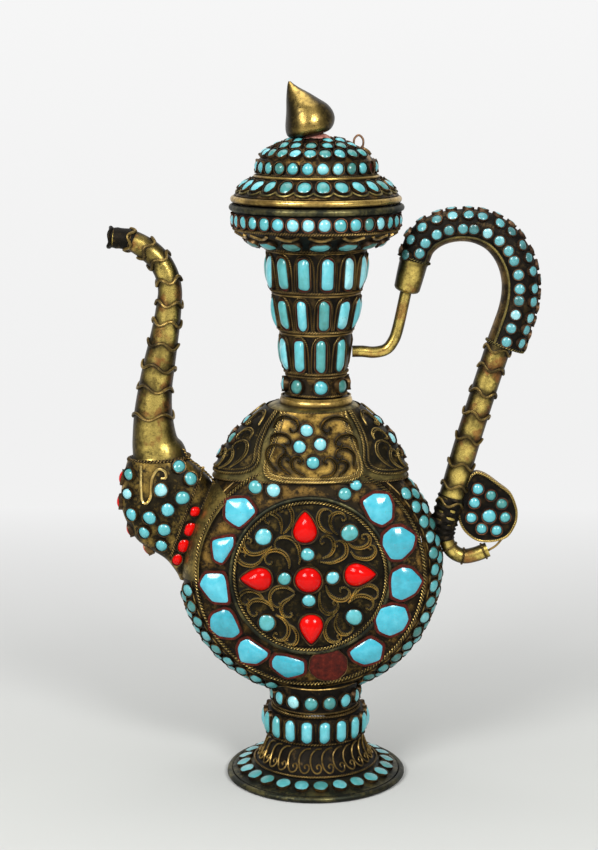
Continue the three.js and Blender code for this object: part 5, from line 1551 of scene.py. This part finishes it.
def make_spout():
    last = len(spout_line) - 1
    outside = [spout_hoop(i)[:, :3] for i in range(last + 1)]
    inside = [spout_hoop(i, grow=-0.9)[:, :3] for i in range(last, -1, -1)]
    stations = [int(np.argmin(np.hypot(spout_line[:, 0] - x, spout_line[:, 1] - z))) for x, z in spout_rings]
    painted_shade = wire_shade(lengths_along(spout_line[:, :2]), stations, reach=2.2, most=0.14)
    # Painted sheen in front and behind, painted shade along the sides and beside the wires
    shades = sheen_and_side_shade(32, start=0) - np.concatenate([painted_shade, painted_shade[::-1]])[:, None]
    Shape().skin(outside + inside, looped=True, shade=shades).piece(
        "spout_pipe", spout_brass, "old_brass", "spout_tube")
    wires = Shape()
    for k, i in enumerate(stations):
        wires.tube(spout_hoop(i, grow=0.4, count=72, ripple=1.25, phase=k * 1.3), 0.7, sides=7, closed=True)
    wires.piece("spout_wires", ring_wire, "old_brass")
    at_tip = range(last - spout_tip, last + 1)
    tip = [spout_hoop(i, grow=0.12 + 0.15 * math.sin(i * 2.4))[:, :3] for i in at_tip]
    lining = [spout_hoop(i, grow=-1.1)[:, :3] for i in at_tip[:0:-1]]
    Shape().skin(tip + lining, looped=True).piece("spout_tip", black_brass, "dark_brass")
    Shape().tube(spout_hoop(last, grow=-0.1, count=48, ripple=0.35), 0.8, sides=8, closed=True).piece(
        "spout_mouth_roll", black_brass, "dark_brass", "spout_mouth_ring")
    Shape().rope(spout_hoop(0, grow=0.1, count=96) + [0, 0, 0.6, 0, 0, 0], 0.9, bead=1.5, closed=True).piece(
        "spout_collar_rope", old_wire, "old_brass", "spout_collar")
    make_bulb()


bulb = {"top": high("spout_bulb"), "height": 54.0, "axis": -68.4, "left": 16.9, "right": 25.4,
        "depth": 11.6, "square": 2.3, "middle": np.array([-66.0, 0, 122.0])}
bulb_shares = curve([(0, 0.8, 0.53, 0.905), (0.083, 0.875, 0.705, 0.965), (0.18, 0.947, 0.88, 1),
                     (0.345, 1, 1, 1), (0.47, 0.92, 0.92, 0.965), (0.555, 0.79, 0.84, 0.915),
                     (0.665, 0.6, 0.725, 0.83), (0.745, 0.24, 0.645, 0.73), (0.825, -0.14, 0.605, 0.6),
                     (0.935, -0.41, 0.567, 0.475), (1, -0.5, 0.51, 0.3)], steps=5)


def bulb_level(z):
    """Middle, half width and half depth of the bulb at a height."""
    down = (bulb["top"] - z) / bulb["height"]
    left, right, deep = (np.interp(down, bulb_shares[:, 0], bulb_shares[:, k]) for k in (1, 2, 3))
    low_x, high_x = bulb["axis"] - bulb["left"] * left, bulb["axis"] + bulb["right"] * right
    return (low_x + high_x) / 2, (high_x - low_x) / 2, bulb["depth"] * deep


def on_bulb(x, z, side=-1):
    middle, half, deep = bulb_level(z)
    share = min(abs(x - middle) / half, 0.995)
    return np.array([x, side * deep * (1 - share ** bulb["square"]) ** (1 / bulb["square"]), z])


bulb_stones = [(-80, 138, 5.4), (-80.9, 129.6, 5), (-79.3, 120.7, 5.6), (-74, 113.1, 5.4),
               (-71.7, 119.9, 6), (-65.7, 114.6, 5.8), (-66.9, 107.4, 5.4), (-64, 123.6, 6),
               (-57.7, 128.6, 6.2), (-66.8, 132.3, 6), (-59.5, 141.6, 5.6), (-54.6, 136.4, 5.8)]
bulb_corals = [(-52.6, 122.4, 4.3, 4.6), (-54.9, 114.6, 5.3, 6.4), (-57.8, 107.0, 5.2, 6.2),
               (-60.4, 100.6, 4.2, 5.6)]
spine_corals = [(-84.6, 135.0), (-84.6, 124.5), (-79.6, 112.5), (-70.3, 104.3)]
bulb_wires = traced(-10)
bulb_loop = bulb_wires([(141.4, 465.8), (142.1, 497), (146.4, 503), (151.1, 495.7), (152.4, 478.8),
                        (158, 469.1), (165, 471.1), (166, 477.1), (161.4, 477.8)])
bulb_strips = [bulb_wires(points) for points in (
    [(201.8, 473.1), (189.6, 504.3), (176.3, 541.8), (171.3, 556.7)],
    [(215.1, 480.4), (201.2, 510.3), (189.6, 541.8), (183.9, 560.1)],
)]


def make_bulb():
    heights = np.linspace(bulb["top"], bulb["top"] - bulb["height"], 48)
    rings = [squared_ring(z, *bulb_level(z), bulb["square"], 72) for z in heights]
    inner = (rings[0] - rings[0].mean(0)) * 0.86 + rings[0].mean(0)
    Shape().skin([inner] + rings, caps=(True, True)).piece(
        "bulb_sheet", bulb_brass, "dark_brass", "spout_bulb")
    seats, reds, wires, loops = Setting(), Setting(), Shape(), Shape()
    for side in (-1, 1):
        surface = outward_of(lambda x, z, side=side: on_bulb(x, z, side), bulb["middle"])
        for x, z, width in bulb_stones:
            place, outward = surface(x, z)
            seats.stone(place, outward, UP, width, height=2.6, rise=2.0, margin=0.35, uneven=0.1)
        for x, z, width, length in bulb_corals:
            place, outward = surface(x, z)
            up = unit(np.array([0.32, 0, 0.95]))
            reds.stone(place, outward, up, width, length, height=2.5, square=2.2, rise=1.6, margin=0.4)

        def just_over(x, z, surface=surface):
            place, outward = surface(x, z)
            return place + outward * 0.3, outward
        for strip in bulb_strips:
            wires.rope(laid(just_over, curve(strip, steps=6)), 0.7, bead=1.25)
        loops.tube(laid(just_over, curve(bulb_loop, steps=6)), 0.6, sides=6, flat=1.5)
    for x, z in spine_corals:
        level, half, _ = bulb_level(z)
        outward = unit(np.array([-1.0, 0, 0.25 - (136 - z) * 0.022]))
        place = np.array([level - half + 1.5, -1.5, z])
        reds.stone(place, outward, UP, 5.6, 6.8, height=3.2, rise=2.2, margin=0.3)
    seats.pieces("bulb")
    reds.pieces("bulb_coral", stones=coral, slot="red_coral")
    stay = curve([(-57.5, 149), (-55, 144.5), (-50, 140.5), (-45.5, 136), (-43.5, 133.0)], steps=6)
    wires.rope(upright(stay, depth=-5.0), 0.6, bead=1.5)
    wires.piece("bulb_wires", old_wire, "old_brass")
    loops.piece("bulb_loops", scroll_brass, "old_brass")


# Handle
bracket_line = [(15.6, 190.7), (20, 190.7), (25, 190.3), (30, 191.5), (33.0, 194.9), (35.1, 200.6),
                (38.4, 216.2)]
socket_foot, socket_top = np.array([38.5, 0, 216.4]), np.array([41.8, 0, 229.9])
# Rows of stones on the arch: angle round it, stones in the row, and where the first one stands
arch_rows = [(-1.45, 16, 0.5), (-2.28, 17, 0.25), (math.pi, 18, 0.5), (2.28, 17, 0.25), (1.45, 16, 0.5)]
socket_levels = [(-0.2, 2.2), (0, 3.6), (0.6, 4.9), (1.6, 5.6), (7, 5.9), (12.6, 6.1), (13.1, 6.4),
                 (13.8, 6.4), (13.9, 5.2)]
arch_points = [(42, 230.5, 6.4), (44.2, 236.9, 6.9), (48.6, 241.3, 7), (54.8, 244, 6.9),
               (61.9, 245, 6.9), (69.1, 244.3, 7.2), (76.1, 241.3, 7.5), (81.4, 236.3, 7.7),
               (85.1, 229.8, 7.8), (87.1, 222.3, 7.9), (87.2, 214.8, 7.9), (85.9, 207.3, 8),
               (83.7, 200.3, 8.1), (81.3, 193.3, 8.1)]


def make_handle():
    # The rod's shade numbers paint a sheen in front and behind and shade along its sides
    Shape().tube(upright(curve(bracket_line, steps=6)), 2.5, sides=16, shade=sheen_and_side_shade(16)).piece(
        "bracket_rod", spout_brass, "old_brass", "neck_bracket")
    axis = unit(socket_top - socket_foot)
    ends = np.array([socket_foot, socket_top])[:, [0, 2]]
    ring = hoop(ends, 0, 1, 1, 48)[:, 3:]
    rings = [socket_foot + axis * along + ring * radius for along, radius in socket_levels]
    # The socket's shade numbers paint a sheen in front and behind and shade along its sides
    Shape().skin(rings, caps=(True, True), shade=sheen_and_side_shade(48, start=0, least=0.0, most=0.5)).piece(
        "socket_ferrule", spout_brass, "old_brass", "handle_socket")
    make_arch()
    make_grip()
    make_leaf()


def make_arch():
    line = curve(arch_points, steps=6)
    count = len(line)
    back = np.linspace(0.86, 2 * math.pi - 0.86, 30)
    hollow = np.linspace(-0.8, 0.8, 5)
    mouth = np.linspace(-0.82, 0.82, 12)
    skin, lining, wires, seats = [], [], Shape(), Setting(wall=0.38)
    for i in range(count):
        middle, _, inward = along_line(line, i)
        r = line[i][2]
        d = r * 0.92

        def inside(angles, thick):
            across = np.outer(np.cos(angles) * (r - thick), inward)
            return middle + across - np.outer(np.sin(angles) * (d - thick), FRONT)
        skin.append(np.concatenate([inside(hollow, 1.3), inside(back, 0)]))
        lining.append(np.concatenate([inside(mouth, 0), inside(mouth[::-1], 1.1)]))
    Shape().skin(skin, caps=(True, True)).piece("arch_skin", black_brass, "dark_brass", "handle_arch")
    Shape().skin(lining, caps=(True, True)).piece("arch_lining", lining_brass, "old_brass", "handle_lining")

    def on_arch(i, angle, grow=0.2):
        middle, along, inward = along_line(line, i)
        r = line[i][2] + grow
        across = inward * math.cos(angle) + np.array([0, 0.94, 0]) * math.sin(angle)
        return middle + across * r, unit(across), along
    lengths = lengths_along(line[:, :2])
    for angle, in_row, start in arch_rows:
        for k in range(in_row):
            i = int(np.argmin(np.abs(lengths - lengths[-1] * (k + start) / in_row)))
            place, outward, along = on_arch(i, angle, -0.45)
            seats.stone(place, outward, along, 4.7, height=1.7, rise=1.3, margin=0.2, uneven=0.06)
    for angle in (-0.88, 0.88):
        edge_line = np.array([np.concatenate(on_arch(i, angle)[:2]) for i in range(count)])
        wires.tube(edge_line, 0.6, sides=8)
    for i in (0, count - 1):
        ring = np.array([np.concatenate(on_arch(i, a)[:2]) for a in full_turn(40)])
        wires.rope(ring, 0.7, bead=1.2, closed=True)
    wires.piece("arch_wires", green_brass, "old_brass")
    seats.pieces("arch", stones=grey_turquoise, bezels=brown_bezel)


grip_line = curve([(79.0, 194.2), (72.4, 173.0), (66.0, 151.5), (61.2, 133.8), (57.2, 118.2),
                   (56.1, 113.6)], steps=16)
crushed_joint = curve([(59.6, 126.8), (58.2, 121.8), (56.6, 116.6), (55.9, 111.8), (56.6, 107.4)], steps=6)
tail_line = curve([(56.6, 113.0), (57.2, 107.6), (59.8, 102.4), (64.6, 99.8), (70.2, 100.6),
                   (75.6, 102.8)], steps=6)
# Where the rings of wire cross the middle of the straight tube, in the photograph's pixels
grip_wires = [(509, 349), (496, 368), (489, 392), (479, 415), (470, 439), (462, 463), (454, 484), (446, 502)]


def make_grip():
    """The straight tube with its wire rings, the crushed joint and the bent tail."""
    count = len(grip_line)
    radii = np.interp(np.arange(count), [0, count * 0.85, count - 1], [5.5, 5.5, 4.6])
    heights = np.array([seen_at(u, v, 0)[1] for u, v in grip_wires])
    stations = np.abs(grip_line[:, 1][None, :] - heights[:, None]).argmin(1)
    # Painted sheen in front and behind, painted shade along the sides and beside the wires
    shades = sheen_and_side_shade(32) - wire_shade(grip_line[:, 1], stations, reach=2.4, most=0.24)[:, None]
    Shape().tube(upright(grip_line), radii, sides=32, shade=shades).piece(
        "grip_tube", spout_brass, "old_brass", "handle_tube")
    wires = Shape()
    for k, i in enumerate(stations):
        reach = radii[i] + 0.35
        wires.tube(hoop(grip_line, i, reach, reach, 60, ripple=1.2, phase=k), 0.64, sides=7, closed=True)
    wires.piece("grip_wires", ring_wire, "old_brass")
    count = len(crushed_joint)
    waist = np.interp(np.arange(count), [0, count * 0.55, count - 1], [5.9, 5.7, 4.4])[:, None]
    creases = np.sin(np.arange(count) * 1.7)[:, None] * np.cos(np.arange(28) * 0.67 + 1)[None, :]
    Shape().tube(upright(crushed_joint), waist + 0.6 * creases, sides=28).piece(
        "grip_joint", black_brass, "dark_brass")
    # The tail's shade numbers paint a sheen in front and behind and shade along its sides
    Shape().tube(upright(tail_line), 3.3, sides=24, shade=sheen_and_side_shade(24)).piece(
        "tail_tube", spout_brass, "old_brass", "handle_tail")
    collar = Shape()
    for share in (0.06, 0.34, 0.62, 0.95):
        i = int(share * (len(tail_line) - 1))
        collar.rope(hoop(tail_line, i, 3.5, 3.5, 36), 0.5, bead=0.9, closed=True, sides=6)
    collar.piece("tail_wires", old_wire, "old_brass")


leaf_rim = [(69.4, 137.1), (66.6, 133.7), (64.5, 127.2), (63.1, 120.9), (63.1, 117.1), (64.9, 112.9),
            (67.8, 109.8), (71.5, 107.7), (76.9, 107.4), (81.2, 108.4), (84, 110.1), (86.6, 114.6),
            (87.3, 118.3), (86.9, 122.1), (84.5, 127.8), (79.6, 131.8), (74, 135.9)]
leaf_stones = [(75.7, 118.3, 6), (70.5, 130.4, 4.8), (76.3, 127.6, 4.6), (81.1, 123.7, 4.6),
               (82.7, 117.7, 4.6), (79.1, 111.9, 4.6), (72.5, 112.6, 4.6), (67.9, 117.6, 4.6),
               (69.2, 124.3, 4.8)]


# A bent wire beside the leaf, in the photograph's pixels
leaf_stay = [(506.5, 527.0), (503.5, 536.0), (496.5, 545.0), (488.0, 550.5)]


def make_leaf():
    rim = curve(leaf_rim, steps=5, closed=True)
    n = len(rim)

    def ring(shrink, y):
        flat = spread(rim[::-1], -shrink)
        return np.stack([flat[:, 0], np.full(n, y), flat[:, 1]], 1)
    Shape().skin([ring(0, -1.9), ring(0, 1.9), ring(0.9, 1.9), ring(0.9, -1.9)], looped=True).piece(
        "leaf_band", bright_brass, "old_brass", "leaf_rim")
    Shape().skin([ring(0.9, -0.9), ring(0.9, 0.9)], caps=(True, True)).piece(
        "leaf_sheet", black_brass, "dark_brass", "leaf_plate")
    wires, seats = Shape(), Setting()
    for side in (-1, 1):
        wires.rope(facing(ring(0.35, side * 2.0), [0.0, side, 0.0]), 0.55, bead=1.0, closed=True, sides=6)
        for x, z, width in leaf_stones:
            seats.stone(np.array([x, side * 0.9, z]), np.array([0, side, 0]), UP, width, height=2.3, rise=1.8,
                        margin=0.45)
    wires.piece("leaf_wires", wire_brass, "old_brass")
    stay = curve([seen_at(u, v, 0) for u, v in leaf_stay], steps=6)
    Shape().tube(upright(stay), 0.5, sides=8).piece("leaf_stay", old_wire, "old_brass")
    seats.pieces("leaf", bezels=copper_bezel)


# Studio
def make_sweep():
    """A pale floor that bends up into a backdrop."""
    wide, front, behind, tall, bend = 3.0, -1.6, 1.5, 3.2, 0.7
    profile = [(front, 0), (behind - bend, 0)]
    turns = np.linspace(0.1, math.pi / 2, 14)
    profile += [(behind - bend + bend * math.sin(a), bend - bend * math.cos(a)) for a in turns]
    profile.append((behind, tall))
    points = [(x, y, z) for y, z in profile for x in (-wide, wide)]
    faces = [(2 * i, 2 * i + 1, 2 * i + 3, 2 * i + 2) for i in range(len(profile) - 1)]
    mesh = bpy.data.meshes.new("studio_sweep")
    mesh.from_pydata(points, [], faces)
    mesh.polygons.foreach_set("use_smooth", [True] * len(faces))
    sweep = bpy.data.objects.new("studio_sweep", mesh)
    bpy.context.scene.collection.objects.link(sweep)
    finish = Finish("studio paper")
    behind_object = finish.node("ShaderNodeSeparateXYZ", {}, {"Vector": finish.where()}, "Y")
    height = finish.node("ShaderNodeSeparateXYZ", {}, {"Vector": finish.where()}, "Z")
    backdrop = finish.mix(finish.between(0.0, 0.45, height), paint(241, 241, 241), paint(247, 247, 247))
    seen = finish.node("ShaderNodeLightPath", output="Is Camera Ray") \
        + finish.node("ShaderNodeLightPath", output="Is Glossy Ray") \
        + finish.node("ShaderNodeLightPath", output="Is Transmission Ray")
    share = finish.between(0.0, 0.52, behind_object) * seen
    finish.set(
        Base_Color=finish.mix(share, paint(199, 200, 197), (0, 0, 0, 1)), Roughness=0.95,
        Specular_IOR_Level=0.0, Emission_Color=backdrop, Emission_Strength=share)
    mesh.materials.append(finish.material)


def make_lamps():
    """Two soft lamps in front, one overhead and a plain pale surround."""
    for name, place, size, power in (("left_lamp", (-0.66, -0.95, 0.8), 0.5, 14.0),
                                     ("right_lamp", (0.5, -0.98, 0.78), 0.34, 10.5),
                                     ("top_lamp", (0.0, 0.1, 1.3), 0.9, 5.5)):
        lamp = bpy.data.lights.new(name, "AREA")
        lamp.size = size
        lamp.energy = power
        made = bpy.data.objects.new(name, lamp)
        made.location = place
        towards = Vector((0, 0, 0.15)) - Vector(place)
        made.rotation_euler = towards.to_track_quat("-Z", "Y").to_euler()
        bpy.context.scene.collection.objects.link(made)

    world = bpy.data.worlds.new("surround")
    bpy.context.scene.world = world
    world.use_nodes = True
    background = world.node_tree.nodes["Background"]
    background.inputs["Color"].default_value = (0.9, 0.9, 0.9, 1)
    background.inputs["Strength"].default_value = 0.32


make_sweep()
make_lamps()
make_foot()
make_edge()
make_face(-1, "front")
make_face(1, "back")
make_shoulder()
make_neck()
make_cup()
make_lid()
make_spout()
make_handle()
